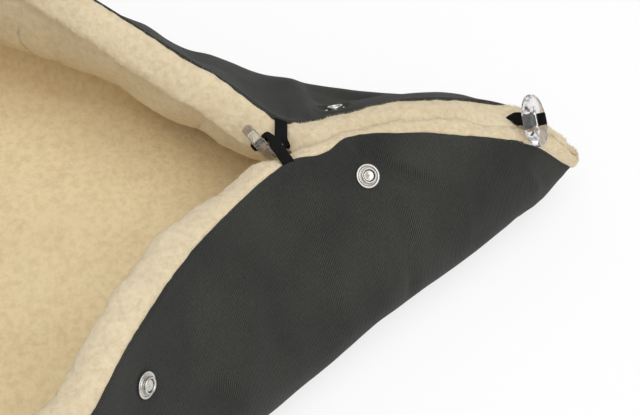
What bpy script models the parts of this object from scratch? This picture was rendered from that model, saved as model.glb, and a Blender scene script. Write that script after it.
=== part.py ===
"""Stroller footmuff lying on its back: a quilted bag with a wool pile lining, whose head end is
drawn in to a pointed hood by two elastics with clear stoppers, and whose front opens with two zips
and folds down at the chest. +Y is towards the head, +X the side of the child's left arm, +Z up.
The origin is on the ground under the middle of the bag."""

import bisect
import math

import bmesh
import bpy
from mathutils import Matrix, Vector

LEFT = 1
RIGHT = -1

# Whole bag, in metres
LENGTH = 1.0
BODY_WIDTH = 0.43
FOOT_TAPER = 0.04
HOOD_LENGTH = 0.40
FLAP_LENGTH = 0.15
RIM_HEIGHT = 0.103
ZIP_HEIGHT = 0.068
CROWN_HEIGHT = 0.132
TOE_HEIGHT = 0.122
FOOT_RADIUS = 0.10
BASE_ROUND = 0.022
RIM_INSET = 0.006
TIP_RADIUS = 0.008
TIP_HEIGHT = 0.020
PROW_DEPTH = 0.024
PROW_HEIGHT = 0.028
PROW_REACH = 0.070
MOUTH_BOW = 0.018

# Cloth layers
SHELL = 0.0025
PILE_FLOOR = 0.011
PILE_WALL = 0.015
PILE_FRONT = 0.010
PILE_CROWN = 0.003
LAYER_GAP = 0.0004
TUNNEL = 0.0016
SLIT = 0.0042
APEX_DEPTH = 0.015
PILE_BULGE_LEFT = 0.003
PILE_BULGE_RIGHT = 0.016
FOLD_GAP = 0.0006
FOLD_LIFT = 0.002

# Zips
TAPE_WIDTH = 0.010
TAPE_THICKNESS = 0.0008
ROW_WIDTH = 0.0018
ROW_THICKNESS = 0.0024
ROW_GAP = 0.0016
ZIP_OPENING = 0.012
ZIP_FOOT_GAP = 0.145
ZIP_TAIL_ROOM = 0.020
ZIP_HEAD_GAP = 0.006
SLIDER_LENGTH = 0.011
SLIDER_HEIGHT = 0.009
SLIDER_PLATE = 0.001
SLIDER_POST = 0.003
SLIDER_EAR = 0.0008
STOP_LENGTH = 0.004
PULL_LENGTH = 0.024
PULL_WIDTH = 0.0062
PULL_THICKNESS = 0.0014
PIN_RADIUS = 0.0006
PIN_LIFT = 0.0017
FIT = 0.0003

# Foot seam
PIPING_RADIUS = 0.003

# Snaps
STUD_RADIUS = 0.00625
STUD_FLANGE = 0.0008
COLLAR_RADIUS = 0.0041
COLLAR_WALL = 0.0011
STUD_HEIGHT = 0.0029
POST_RADIUS = 0.0017
POST_WALL = 0.0006
EYELET_RADIUS = 0.0055
EYELET_FLANGE = 0.0006
LIP_RADIUS = 0.0026
ROUND_SIDES = 16

# Elastics and their stoppers
ELASTIC_WIDTH = 0.0065
ELASTIC_THICKNESS = 0.001
STRAND_SPACING = 0.002
STOPPER_LENGTH = 0.028
STOPPER_WIDTH = 0.020
STOPPER_THICKNESS = 0.0055
STOPPER_HOLE_FIT = 0.0008
LOOP_REACH = 0.0035
ELASTIC_TAIL = 0.005
ELASTIC_RUN = 0.003
ELASTIC_RISE = 0.0015

# Harness slots
SLOT_LENGTH = 0.050
SLOT_WIDTH = 0.012
SLOT_BINDING = 0.003
SLOT_FLANGE = 0.0035
SLOT_FLANGE_THICKNESS = 0.0012
SHOULDER_SPACING = 0.13
SHOULDER_FROM_FOLD = 0.05
CROTCH_FROM_FOOT = 0.27

# Outline of the hood's lower edge: place along the hood, half width of the body
BASE_SHARES = (
    (0.010, 0.032),
    (0.075, 0.098),
    (0.140, 0.170),
    (0.225, 0.255),
    (0.410, 0.450),
    (0.600, 0.680),
    (0.740, 0.840),
    (0.880, 0.935),
    (1.000, 0.980),
    (1.100, 1.000),
)
# Rim of each hood wall: place along the hood, half width, height, lean from upright in right angles
RIM_LEFT_SHARES = (
    (0.010, 0.030, 0.19, 0.10),
    (0.075, 0.050, 0.46, 0.35),
    (0.135, 0.070, 0.60, 0.45),
    (0.245, 0.079, 0.76, 0.50),
    (0.345, 0.086, 0.83, 0.48),
    (0.425, 0.153, 0.87, 0.42),
    (0.500, 0.274, 0.92, 0.36),
    (0.583, 0.442, 0.97, 0.30),
    (0.630, 0.563, 0.99, 0.24),
    (0.668, 0.665, 1.00, 0.18),
    (0.703, 0.763, 0.98, 0.12),
    (0.780, 0.860, 0.93, 0.06),
    (0.900, 0.935, 0.80, 0.00),
    (1.000, 0.960, 0.66, 0.00),
)
RIM_RIGHT_SHARES = (
    (0.010, 0.030, 0.19, 0.10),
    (0.075, 0.063, 0.48, 0.45),
    (0.135, 0.078, 0.60, 0.62),
    (0.245, 0.079, 0.70, 0.66),
    (0.345, 0.074, 0.68, 0.68),
    (0.405, 0.080, 0.71, 0.68),
    (0.463, 0.190, 0.80, 0.66),
    (0.515, 0.288, 0.86, 0.60),
    (0.573, 0.405, 0.93, 0.50),
    (0.620, 0.500, 0.98, 0.38),
    (0.670, 0.620, 1.00, 0.26),
    (0.720, 0.740, 0.98, 0.16),
    (0.800, 0.860, 0.91, 0.08),
    (0.900, 0.930, 0.80, 0.00),
    (1.000, 0.960, 0.66, 0.00),
)
HOOD_STATION_SHARES = (
    0.025, 0.045, 0.075, 0.115, 0.165, 0.220, 0.275, 0.330, 0.380, 0.420,
    0.460, 0.500, 0.545, 0.590, 0.635, 0.680, 0.730, 0.790, 0.860, 0.930,
)
TIP_TURN_SHARES = (0.0, 0.5)
ZIP_STATION_SHARES = (0.0, 0.16, 0.33, 0.50, 0.67, 0.84, 1.0)
FOOT_TURN_SHARES = (0.25, 0.5, 0.75, 1.0)
WALL_STEP_SHARES = (0.25, 0.50, 0.72, 0.90, 1.0)
RIB_STEP_SHARES = (0.16, 0.34, 0.55, 0.78, 1.0)
# Snaps: side, place along the hood, way up between the last rows of the wall under its rim
SNAP_SHARES = (
    ("left_head", LEFT, 0.325, 0.5),
    ("left_face", LEFT, 0.645, 0.2),
    ("right_head", RIGHT, 0.331, 0.9),
    ("right_face", RIGHT, 0.645, 0.2),
)
# Elastics: places across, back from the tip and up, as shares of half the bag's width, the hood's
# length and the rim's height, each with the direction of the strap's width there
CROWN_PLACE_SHARES = (0.0270, 0.0813, 0.6068)
CROWN_WAY = Vector((0.443, 0.732, 0.516))
CROWN_LONG_AXIS = Vector((0.743, 0.021, -0.668))
CROWN_PAIR_SHARES = (
    ((0.0000, 0.1300, 0.3845), (0.0, 0.77, -0.64)),
    ((0.0000, 0.1125, 0.4660), (0.0, 0.77, -0.64)),
)
THROAT_PLACE_SHARES = (0.0016, 0.4445, 0.7340)
THROAT_WAY = Vector((0.286, -0.846, -0.450))
THROAT_LONG_AXIS = Vector((0.932, 0.142, 0.333))
THROAT_NEAR_SHARES = (
    ((0.0930, 0.4272, 0.8437), (0.18, -0.91, -0.37)),
    ((0.0591, 0.4267, 0.8408), (0.18, -0.91, -0.37)),
    ((0.0265, 0.4275, 0.8175), (0.75, -0.65, -0.1)),
)
THROAT_FAR_SHARES = (
    ((0.0195, 0.4203, 0.7408), (0.45, -0.87, 0.15)),
    ((0.0358, 0.4140, 0.7320), (0.0, -1.0, 0.0)),
    ((0.0195, 0.4105, 0.7631), (-0.24, -0.97, 0.0)),
    ((-0.0279, 0.4105, 0.7301), (-0.24, -0.97, 0.0)),
)
THROAT_NEAR_SHARE = 0.415
THROAT_FAR_SHARE = 0.405
LEFT_FULLNESS_SHARE = 0.40
RIGHT_FULLNESS_SHARE = 0.64
TIP_FAN_SHARE = 0.08
TIP_TURN = math.radians(60)
BOARD_SHARE = 0.8
STOPPER_SPREAD_SHARE = 0.9
STOPPER_ROUND_SHARE = 0.4
# Outline of a stopper through its thickness: place from its middle, size
STOPPER_EDGE_SHARES = ((-1.0, 0.80), (-0.7, 0.95), (0.0, 1.0), (0.7, 0.95), (1.0, 0.80))
EAR_SHARE = 2.5
SLIDER_TAPER_SHARE = 0.75
PULL_CORNER_SHARE = 0.33

TIP_Y = LENGTH / 2
FOOT_WIDTH = BODY_WIDTH - FOOT_TAPER
ZIP_LENGTH = LENGTH - HOOD_LENGTH - ZIP_HEAD_GAP - STOP_LENGTH - ZIP_FOOT_GAP
HALF_WIDTH = BODY_WIDTH / 2
BASE_DEPTH = SHELL + LAYER_GAP
TUNNEL_DEPTH = SHELL + LAYER_GAP + TUNNEL + LAYER_GAP
FOLD_Y = TIP_Y - HOOD_LENGTH - FLAP_LENGTH


def along(rows, column, at):
    """One column of a table at a place between its rows, on a smooth curve through them."""
    places = [row[0] for row in rows]
    values = [row[column] for row in rows]
    last = len(rows) - 1
    i = min(max(bisect.bisect_right(places, at) - 1, 0), last - 1)
    step = places[i + 1] - places[i]
    slopes = []
    for k in (i, i + 1):
        low, high = max(k - 1, 0), min(k + 1, last)
        slopes.append((values[high] - values[low]) / (places[high] - places[low]))
    t = min(max((at - places[i]) / step, 0.0), 1.0)
    return (
        (2 * t**3 - 3 * t**2 + 1) * values[i]
        + (t**3 - 2 * t**2 + t) * step * slopes[0]
        + (3 * t**2 - 2 * t**3) * values[i + 1]
        + (t**3 - t**2) * step * slopes[1]
    )


def blend(low, high, at):
    """A smooth step from 0 at low to 1 at high."""
    t = min(max((at - low) / (high - low), 0.0), 1.0)
    return t * t * (3 - 2 * t)


class Station:
    """One upright section through the bag's wall: where its lower edge stands, which way is
    inward, and the wall's profile from the ground up to its rim."""

    def __init__(self, base, inward, edge_round, rim_in, rim_z, lean, side, s):
        self.base = base
        self.inward = inward
        self.round = edge_round
        self.rim_in = rim_in
        self.rim_z = rim_z
        self.lean = lean
        self.side = side
        self.s = s
        self.beside = ()

    def bezier(self):
        tangent = (math.sin(self.lean), math.cos(self.lean))
        rise = self.rim_z - self.round
        fullness = RIGHT_FULLNESS_SHARE if self.side == RIGHT else LEFT_FULLNESS_SHARE
        reach = math.hypot(self.rim_in, rise) * fullness
        return (
            (0.0, self.round),
            (0.0, self.round + rise * fullness),
            (self.rim_in - tangent[0] * reach, self.rim_z - tangent[1] * reach),
            (self.rim_in, self.rim_z),
        )

    def profile(self, row):
        """Point and inward normal of one row of the outer face: floor edge, corner, wall, rim."""
        if row < 2:
            turn = math.radians(45) * row
            low = self.round
            return (low - low * math.sin(turn), low - low * math.cos(turn)), (
                math.sin(turn),
                math.cos(turn),
            )
        t = 0.0 if row == 2 else WALL_STEP_SHARES[row - 3]
        p = self.bezier()
        weights = ((1 - t) ** 3, 3 * t * (1 - t) ** 2, 3 * t * t * (1 - t), t**3)
        point = tuple(sum(w * q[k] for w, q in zip(weights, p)) for k in (0, 1))
        slopes = ((1 - t) ** 2, 2 * t * (1 - t), t * t)
        run = [sum(w * (p[n + 1][k] - p[n][k]) for n, w in enumerate(slopes)) for k in (0, 1)]
        size = math.hypot(*run)
        return point, (run[1] / size, -run[0] / size)

    def place(self, inset, height):
        """A point of the section, drawn back under the tip as the hood's prow rises."""
        x = self.base[0] + self.inward[0] * inset
        y = self.base[1] + self.inward[1] * inset
        low = max(0.0, 1 - height / PROW_HEIGHT)
        near = max(0.0, 1 - (TIP_Y - y) / PROW_REACH)
        return Vector((x, y - PROW_DEPTH * low**2 * near**2, height))

    def layer(self, row, depth, past=0.0):
        """A point under the outer face by a depth, and past the rim along the wall by a length."""
        point, normal = self.profile(row)
        way = Vector((*self.inward, 0.0))
        up = Vector((0.0, 0.0, 1.0))
        rise = up * normal[0] - way * normal[1]
        inside = way * normal[0] + up * normal[1]
        if self.beside:
            low, high = (st.place(*st.profile(row)[0]) for st in self.beside)
            square = rise.cross(high - low).normalized()
            inside = square if square.dot(inside) > 0 else -square
        return self.place(*point) + inside * depth + rise * past

    def cavity(self, row, depth, past=0.0):
        """A point of the lining's inner face, which keeps a slit open along the closed hood."""
        point = self.layer(row, depth, past)
        if self.s > HOOD_LENGTH:
            return point
        half, least = self.side * point.x, SLIT / 2
        point.x = self.side * (half + least + math.hypot(half - least, SLIT / 4)) / 2
        point.y = TIP_Y - math.hypot(TIP_Y - point.y, APEX_DEPTH)
        return point


LAST_ROW = 2 + len(WALL_STEP_SHARES)


def base_half_width(s):
    return along(BASE_SHARES, 1, s / HOOD_LENGTH) * HALF_WIDTH


def hood_station(s, side):
    """A section through a hood wall, which knows its neighbours to find the wall's slant."""
    made = hood_section(s, side)
    made.beside = [hood_section(s + step, side) for step in (-TIP_RADIUS / 2, TIP_RADIUS / 2)]
    return made


def hood_section(s, side):
    rows = RIM_LEFT_SHARES if side == LEFT else RIM_RIGHT_SHARES
    share = s / HOOD_LENGTH
    half = base_half_width(s)
    turn = TIP_TURN / 2 * max(0.0, 1 - share / TIP_FAN_SHARE)
    rim_half = min(along(rows, 1, share) * HALF_WIDTH, half - RIM_INSET / 4)
    edge_round = min(BASE_ROUND, BOARD_SHARE * half)
    return Station(
        (side * half, TIP_Y - s),
        (-side * math.cos(turn), -math.sin(turn)),
        edge_round,
        half - rim_half,
        along(rows, 2, share) * RIM_HEIGHT,
        along(rows, 3, share) * math.pi / 2,
        side,
        s,
    )


def tip_station(share, side):
    """A section through the rounded tip of the hood."""
    turn = TIP_TURN * share
    middle = TIP_Y - TIP_RADIUS
    outward = (side * math.sin(turn), math.cos(turn))
    return Station(
        (outward[0] * TIP_RADIUS, middle + outward[1] * TIP_RADIUS),
        (-outward[0], -outward[1]),
        TIP_RADIUS / 2,
        RIM_INSET / 6,
        TIP_HEIGHT,
        0.0,
        side if share else 0,
        TIP_RADIUS * (1 - math.cos(turn)),
    )


def body_half_width(s):
    """Half width of the lower edge beside the zips: straight from the hood to the foot corners."""
    straight = LENGTH - FOOT_RADIUS - HOOD_LENGTH
    start = base_half_width(HOOD_LENGTH)
    share = (s - HOOD_LENGTH) / straight
    return start + (FOOT_WIDTH / 2 - start) * share


def seam_half(s):
    """Half of the opening between the back's rim and the front's edge."""
    piping = PIPING_RADIUS + LAYER_GAP
    past = blend(zip_end(), zip_end() + ZIP_TAIL_ROOM, s)
    return ZIP_OPENING / 2 + (piping - ZIP_OPENING / 2) * past


def body_station(s, side):
    return Station(
        (side * body_half_width(s), TIP_Y - s),
        (-side, 0.0),
        BASE_ROUND,
        RIM_INSET,
        ZIP_HEIGHT - seam_half(s),
        0.0,
        side,
        s,
    )


def foot_station(share, side):
    """A section through a foot corner, from its side at 0 to the straight foot end at 1."""
    turn = math.pi / 2 * share
    outward = (side * math.cos(turn), -math.sin(turn))
    middle = (side * (FOOT_WIDTH / 2 - FOOT_RADIUS), TIP_Y - LENGTH + FOOT_RADIUS)
    return Station(
        (middle[0] + outward[0] * FOOT_RADIUS, middle[1] + outward[1] * FOOT_RADIUS),
        (-outward[0], -outward[1]),
        BASE_ROUND,
        RIM_INSET,
        ZIP_HEIGHT - seam_half(LENGTH),
        0.0,
        side,
        LENGTH,
    )


def foot_middle():
    return Station(
        (0.0, TIP_Y - LENGTH),
        (0.0, 1.0),
        BASE_ROUND,
        RIM_INSET,
        ZIP_HEIGHT - seam_half(LENGTH),
        0.0,
        0,
        LENGTH,
    )


def zip_start():
    return HOOD_LENGTH + ZIP_HEAD_GAP


def zip_end():
    return zip_start() + ZIP_LENGTH + STOP_LENGTH


def side_places():
    """Places down a straight side: its head end, along the zip, the seam past it, the corner."""
    along_zip = [zip_start() + share * (zip_end() - zip_start()) for share in ZIP_STATION_SHARES]
    return [HOOD_LENGTH] + along_zip + [zip_end() + ZIP_TAIL_ROOM, LENGTH - FOOT_RADIUS]


def half_loop(side):
    """Sections from beside the tip down one side to the foot."""
    stations = [tip_station(share, side) for share in TIP_TURN_SHARES[1:]]
    stations += [tip_station(1.0, side)]
    stations += [hood_station(share * HOOD_LENGTH, side) for share in HOOD_STATION_SHARES]
    stations += [body_station(s, side) for s in side_places()]
    stations += [foot_station(share, side) for share in FOOT_TURN_SHARES]
    return stations


def whole_loop():
    return [tip_station(0.0, LEFT)] + half_loop(LEFT) + [foot_middle()] + half_loop(RIGHT)[::-1]


def material(name, colour, roughness, metallic=0.0, transmission=0.0):
    made = bpy.data.materials.new(name)
    made.use_nodes = True
    shader = made.node_tree.nodes["Principled BSDF"]
    shader.inputs["Base Color"].default_value = (*colour, 1.0)
    shader.inputs["Roughness"].default_value = roughness
    shader.inputs["Metallic"].default_value = metallic
    shader.inputs["Transmission Weight"].default_value = transmission
    return made


def build(name, vertices, faces, finish, smooth=True):
    """An object from points in the bag's frame, with its faces turned outward."""
    mesh = bpy.data.meshes.new(name)
    form = bmesh.new()
    points = [form.verts.new(v) for v in vertices]
    for face in faces:
        form.faces.new([points[i] for i in face])
    bmesh.ops.remove_doubles(form, verts=form.verts, dist=LAYER_GAP / 40)
    bmesh.ops.recalc_face_normals(form, faces=form.faces)
    form.to_mesh(mesh)
    form.free()
    if smooth:
        mesh.shade_smooth()
        mesh.set_sharp_from_angle(angle=math.radians(40))
    mesh.materials.append(finish)
    thing = bpy.data.objects.new(name, mesh)
    bpy.context.scene.collection.objects.link(thing)
    return thing


def rings_solid(name, rings, finish, caps=True, turned=None):
    """A closed body through closed rings of equal count, capped at both ends or closed on itself.
    Its quads are split along one diagonal, and along the other from the turned ring on, so that
    the inner face of a layer is split as its outer face is."""
    count = len(rings[0])
    vertices = [p for ring in rings for p in ring]
    pairs = [(k, k + 1) for k in range(len(rings) - 1)]
    if not caps:
        pairs.append((len(rings) - 1, 0))
    faces = []
    for low, high in pairs:
        for i in range(count):
            j = (i + 1) % count
            a, b, c, d = low * count + i, low * count + j, high * count + j, high * count + i
            if turned is None or low < turned:
                faces += [(a, b, c), (a, c, d)]
            else:
                faces += [(a, b, d), (b, c, d)]
    if caps:
        faces.append(tuple(range(count)))
        faces.append(tuple(range((len(rings) - 1) * count, len(rings) * count)))
    return build(name, vertices, faces, finish)


def turn_about(thing, point):
    """Puts a moving piece's origin on its joint, with the piece left where it is."""
    thing.data.transform(Matrix.Translation(-point))
    thing.location = point


def cut(target, cutter):
    cutter.hide_render = True
    cutter.display_type = "WIRE"
    step = target.modifiers.new("cut", "BOOLEAN")
    step.operation = "DIFFERENCE"
    step.solver = "EXACT"
    step.object = cutter


def set_back(station):
    """How far the lining stops below the rim: none on the hood, clear of the slider at the zip."""
    return (PILE_CROWN + LAYER_GAP) * blend(HOOD_LENGTH * BOARD_SHARE, HOOD_LENGTH, station.s)


def lining_depth(row):
    return BASE_DEPTH if row < LAST_ROW - 2 else TUNNEL_DEPTH


def pile(station, row):
    """Depth of the lining's inner face, thinner where the lower edge is too tight for it."""
    least = BASE_DEPTH + LAYER_GAP
    floor = max(least, min(BASE_DEPTH + PILE_FLOOR, BOARD_SHARE * station.round))
    if row <= 2:
        return floor
    up = (row - 2) / (LAST_ROW - 2)
    bulge = {LEFT: PILE_BULGE_LEFT, RIGHT: PILE_BULGE_RIGHT}.get(station.side, 0.0)
    bulge *= blend(HOOD_LENGTH, HOOD_LENGTH * BOARD_SHARE, station.s)
    return floor + (TUNNEL_DEPTH + PILE_WALL - floor) * up + bulge * math.sin(math.pi * up)


def side_shell(finish):
    """The walls of the back: up from its floor edge, curling into the hood, round the foot."""
    stations = whole_loop()
    rows = range(LAST_ROW + 1)
    outer = [[st.layer(row, 0.0) for st in stations] for row in rows]
    inner = [[st.layer(row, SHELL) for st in stations] for row in reversed(rows)]
    return rings_solid("side_shell", outer + inner, finish, caps=False, turned=len(outer))


def back_panel(finish):
    """The flat panel sewn in between the walls' lower edges, which the bag lies on."""
    outline = [st.place(st.round + LAYER_GAP, 0.0) for st in whole_loop()]
    raised = [point + Vector((0.0, 0.0, SHELL)) for point in outline]
    return rings_solid("back_panel", [outline, raised], finish)


def back_lining(finish):
    stations = whole_loop()
    outer, inner = [], []
    for row in range(LAST_ROW + 1):
        lower = [-set_back(st) if row == LAST_ROW else 0.0 for st in stations]
        outer.append([st.layer(row, lining_depth(row), past) for st, past in zip(stations, lower)])
        inner.append([st.cavity(row, pile(st, row), past) for st, past in zip(stations, lower)])
    crown = []
    for st in stations:
        middle = (TUNNEL_DEPTH + pile(st, LAST_ROW)) / 2
        crown.append(st.cavity(LAST_ROW, middle, PILE_CROWN - set_back(st)))
    rings = outer + [crown] + inner[::-1]
    return rings_solid("back_lining", rings, finish, turned=len(outer) + 1)


def rib(station, crown_y, crown_z):
    """Points and inward normals of the domed front from its edge up to the crown line."""
    edge = station.place(station.rim_in, ZIP_HEIGHT + seam_half(station.s))
    reach = Vector((-edge.x, crown_y - edge.y, 0.0))
    span = reach.length
    inward = reach.normalized()
    low = Vector((edge.x, edge.y, edge.z + TAPE_WIDTH))
    rise = crown_z - low.z
    up = Vector((0.0, 0.0, 1.0))
    points = [(edge, inward), (low, inward)]
    for share in RIB_STEP_SHARES:
        turn = math.pi / 2 * share
        across, height = span * (1 - math.cos(turn)), rise * math.sin(turn)
        normal = inward * (rise * math.cos(turn)) - up * (span * math.sin(turn))
        points.append((low + inward * across + up * height, normal.normalized()))
    return points


def crown_height(s):
    start, end = HOOD_LENGTH, LENGTH - FOOT_WIDTH / 2
    return CROWN_HEIGHT + (TOE_HEIGHT - CROWN_HEIGHT) * min((s - start) / (end - start), 1.0)


def front_ribs(places, with_foot):
    """Ribs of the front down the left side, round the foot if asked, and up the right side."""
    pole = LENGTH - FOOT_WIDTH / 2
    ribs = []
    for side in (LEFT, RIGHT):
        half = []
        for s in places:
            here = min(s, pole)
            half.append(rib(body_station(s, side), TIP_Y - here, crown_height(here)))
        if with_foot:
            for share in FOOT_TURN_SHARES:
                half.append(rib(foot_station(share, side), TIP_Y - pole, crown_height(pole)))
        ribs.append(half)
    middle = [rib(foot_middle(), TIP_Y - pole, crown_height(pole))] if with_foot else []
    return ribs[0] + middle + ribs[1][::-1]


def front_layer(name, ribs, shallow, deep, lift, finish, joined, bow):
    """One layer of the front between two depths, its lower edge raised by a lift."""
    count = len(ribs[0])
    vertices = []
    for depth in (shallow, deep):
        for points in ribs:
            for k, (point, normal) in enumerate(points):
                top = point + normal * depth
                if k == 0:
                    top = top + Vector((0.0, 0.0, lift))
                vertices.append(bow(top))
    block = len(ribs) * count
    half = len(ribs) // 2
    faces = []
    for layer in (0, block):
        for r in range(len(ribs) - 1):
            if not joined and r == half - 1:
                continue
            for k in range(count - 1):
                a = layer + r * count + k
                faces.append((a, a + 1, a + 1 + count, a + count))
    edges = [r for r in range(len(ribs) - 1) if joined or r != half - 1]
    for r in edges:
        a = r * count
        faces.append((a, a + count, a + count + block, a + block))
    ends = [0, len(ribs) - 1] if joined else [0, half - 1, half, len(ribs) - 1]
    for r in ends:
        for k in range(count - 1):
            a = r * count + k
            faces.append((a, a + 1, a + 1 + block, a + block))
    return build(name, vertices, faces, finish)


def flat(point):
    return point


def bowed(point):
    """The chest edge bows up towards the face in the middle, fading out at the fold line."""
    share = (point.y - FOLD_Y) / FLAP_LENGTH
    across = 1 - (point.x / HALF_WIDTH) ** 2
    return Vector((point.x, point.y + MOUTH_BOW * share * across, point.z))


def front_places():
    start = HOOD_LENGTH + FLAP_LENGTH + FOLD_GAP / 2
    return [start] + [s for s in side_places() if s > start + FLAP_LENGTH / 4]


def flap_places():
    end = HOOD_LENGTH + FLAP_LENGTH - FOLD_GAP / 2
    return [HOOD_LENGTH + (end - HOOD_LENGTH) * k / 3 for k in range(4)]


def front_pieces(twill, wool):
    lift = PILE_CROWN
    under = BASE_DEPTH + TAPE_THICKNESS + LAYER_GAP
    deep = under + PILE_FRONT
    ribs = front_ribs(front_places(), True)
    front_layer("front_shell", ribs, 0.0, SHELL, 0.0, twill, True, flat)
    front_layer("front_lining", ribs, under, deep, lift, wool, True, flat)
    ribs = front_ribs(flap_places(), False)
    front_layer("flap_shell", ribs, 0.0, SHELL, 0.0, twill, False, bowed)
    front_layer("flap_lining", ribs, under, deep, lift, wool, False, bowed)


class ZipFrame:
    """The straight frame of one zip: along it to the foot, outward, and up, from the middle of
    the tape's thickness at the zip's head end."""

    def __init__(self, side):
        depth = SHELL + LAYER_GAP + TAPE_THICKNESS / 2
        start, end = body_station(zip_start(), side), body_station(zip_end(), side)
        self.origin = start.place(start.rim_in + depth, ZIP_HEIGHT)
        self.along = (end.place(end.rim_in + depth, ZIP_HEIGHT) - self.origin).normalized()
        self.up = Vector((0.0, 0.0, 1.0))
        self.out = self.along.cross(self.up) * -side

    def at(self, along_zip, out, up):
        return self.origin + self.along * along_zip + self.out * out + self.up * up


def prism(name, frame, start, end, section, finish):
    """A bar along a zip, from a section of outward and upward places."""
    rings = [[frame.at(place, out, up) for out, up in section] for place in (start, end)]
    return rings_solid(name, rings, finish)


def slab(name, frame, outline, low, high, finish):
    """A plate parallel to a zip's tape, from an outline of places along the zip and upward."""
    rings = [[frame.at(place, out, up) for place, up in outline] for out in (low, high)]
    return rings_solid(name, rings, finish)


def chamfered(half_out, low, high, chamfer):
    return [
        (-half_out, low + chamfer),
        (-half_out + chamfer, low),
        (half_out - chamfer, low),
        (half_out, low + chamfer),
        (half_out, high - chamfer),
        (half_out - chamfer, high),
        (-half_out + chamfer, high),
        (-half_out, high - chamfer),
    ]


def zip_half(names, frame, start, end, way, tape_finish, row_finish):
    """The tape and the row of teeth on one edge of a zip, below it or above it."""
    half = TAPE_THICKNESS / 2
    inner = ROW_GAP / 2 + ROW_WIDTH
    near, far = inner + FIT, ZIP_OPENING / 2 + TAPE_WIDTH
    tape = [(-half, way * near), (half, way * near), (half, way * far), (-half, way * far)]
    prism(names[0], frame, start, end, tape, tape_finish)
    low, high = sorted((way * ROW_GAP / 2, way * inner))
    row = chamfered(ROW_THICKNESS / 2, low, high, ROW_WIDTH / 4)
    prism(names[1], frame, start, end, row, row_finish)


def rounded(length_low, length_high, half_low, half_high, corner):
    """An outline along a zip between two ends of unlike width, with cut corners."""
    return [
        (length_low, -half_low + corner),
        (length_low + corner, -half_low),
        (length_high - corner, -half_high),
        (length_high, -half_high + corner),
        (length_high, half_high - corner),
        (length_high - corner, half_high),
        (length_low + corner, half_low),
        (length_low, half_low - corner),
    ]


def join(target, piece):
    piece.hide_render = True
    piece.display_type = "WIRE"
    step = target.modifiers.new("join", "BOOLEAN")
    step.operation = "UNION"
    step.solver = "EXACT"
    step.object = piece


def circle(radius, sides=ROUND_SIDES):
    turns = [2 * math.pi * k / sides for k in range(sides)]
    return [(radius * math.cos(turn), radius * math.sin(turn)) for turn in turns]


def pin_place():
    """Outward place of the pull's pin, clear of the slider's outer plate."""
    return ROW_THICKNESS / 2 + FIT + SLIDER_PLATE + PIN_LIFT


def zip_slider(side_name, frame, finish):
    """Two plates round the teeth, a post between the rows, and ears with the pull's pin."""
    name = "zip_slider_" + side_name
    inside = ROW_THICKNESS / 2 + FIT
    outside = inside + SLIDER_PLATE
    corner = SLIDER_HEIGHT / 6
    foot_half = SLIDER_HEIGHT / 2 * SLIDER_TAPER_SHARE
    outline = rounded(0.0, SLIDER_LENGTH, SLIDER_HEIGHT / 2, foot_half, corner)
    body = slab(name, frame, outline, inside, outside, finish)
    back = slab(name + "_back", frame, outline, -outside, -inside, finish)
    post_half = ROW_GAP / 2 - FIT
    post = [
        (corner, -post_half),
        (corner + SLIDER_POST, -post_half),
        (corner + SLIDER_POST, post_half),
        (corner, post_half),
    ]
    middle = slab(name + "_post", frame, post, -outside + FIT, outside - FIT, finish)
    join(body, middle)
    join(body, back)
    reach = pin_place() + PIN_RADIUS * 2
    for way in (LEFT, RIGHT):
        low, high = sorted((way * ear_inner(), way * (ear_inner() + SLIDER_EAR)))
        half = PIN_RADIUS * EAR_SHARE
        ear = [
            (SLIDER_LENGTH / 2 - half, low),
            (SLIDER_LENGTH / 2 + half, low),
            (SLIDER_LENGTH / 2 + half, high),
            (SLIDER_LENGTH / 2 - half, high),
        ]
        join(body, slab(name + "_ear" + str(way), frame, ear, outside - FIT, reach, finish))
    ends = ear_inner() + SLIDER_EAR / 2
    rings = [
        [
            frame.at(SLIDER_LENGTH / 2 + a, pin_place() + b, up)
            for a, b in circle(PIN_RADIUS, ROUND_SIDES // 2)
        ]
        for up in (-ends, ends)
    ]
    join(body, rings_solid(name + "_pin", rings, finish))
    turn_about(body, frame.at(0.0, 0.0, 0.0))


def ear_inner():
    """Half of the room between the slider's ears."""
    return SLIDER_HEIGHT / 4


def zip_pull(side_name, frame, finish):
    """A tab with an eye round the slider's pin, lying back along the zip."""
    name = "zip_pull_" + side_name
    bore = PIN_RADIUS + FIT
    barrel = bore + PIN_RADIUS
    half = ear_inner() - FIT
    middle = SLIDER_LENGTH / 2
    rings = []
    for radius, up in ((bore, -half), (barrel, -half), (barrel, half), (bore, half)):
        ring = [frame.at(middle + a, pin_place() + b, up) for a, b in circle(radius)]
        rings.append(ring)
    body = rings_solid(name, rings, finish, caps=False)
    neck = middle + barrel - FIT
    wide = PULL_WIDTH / 2
    shoulder = middle + barrel * 2
    end = middle + PULL_LENGTH
    outline = [
        (neck, -half),
        (shoulder, -half),
        (shoulder + half / 2, -wide),
        (end - wide, -wide),
        (end - wide * PULL_CORNER_SHARE, wide * PULL_CORNER_SHARE - wide),
        (end, 0.0),
        (end - wide * PULL_CORNER_SHARE, wide - wide * PULL_CORNER_SHARE),
        (end - wide, wide),
        (shoulder + half / 2, wide),
        (shoulder, half),
        (neck, half),
    ]
    low, high = pin_place() - PULL_THICKNESS / 2, pin_place() + PULL_THICKNESS / 2
    tab = slab(name + "_tab", frame, outline, low, high, finish)
    hole = rounded(end - PULL_LENGTH / 2, end - wide, wide / 2, wide / 2, wide / 4)
    cut(tab, slab(name + "_hole", frame, hole, low - FIT, high + FIT, finish))
    join(body, tab)
    turn_about(body, frame.at(middle, pin_place(), 0.0))


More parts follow.
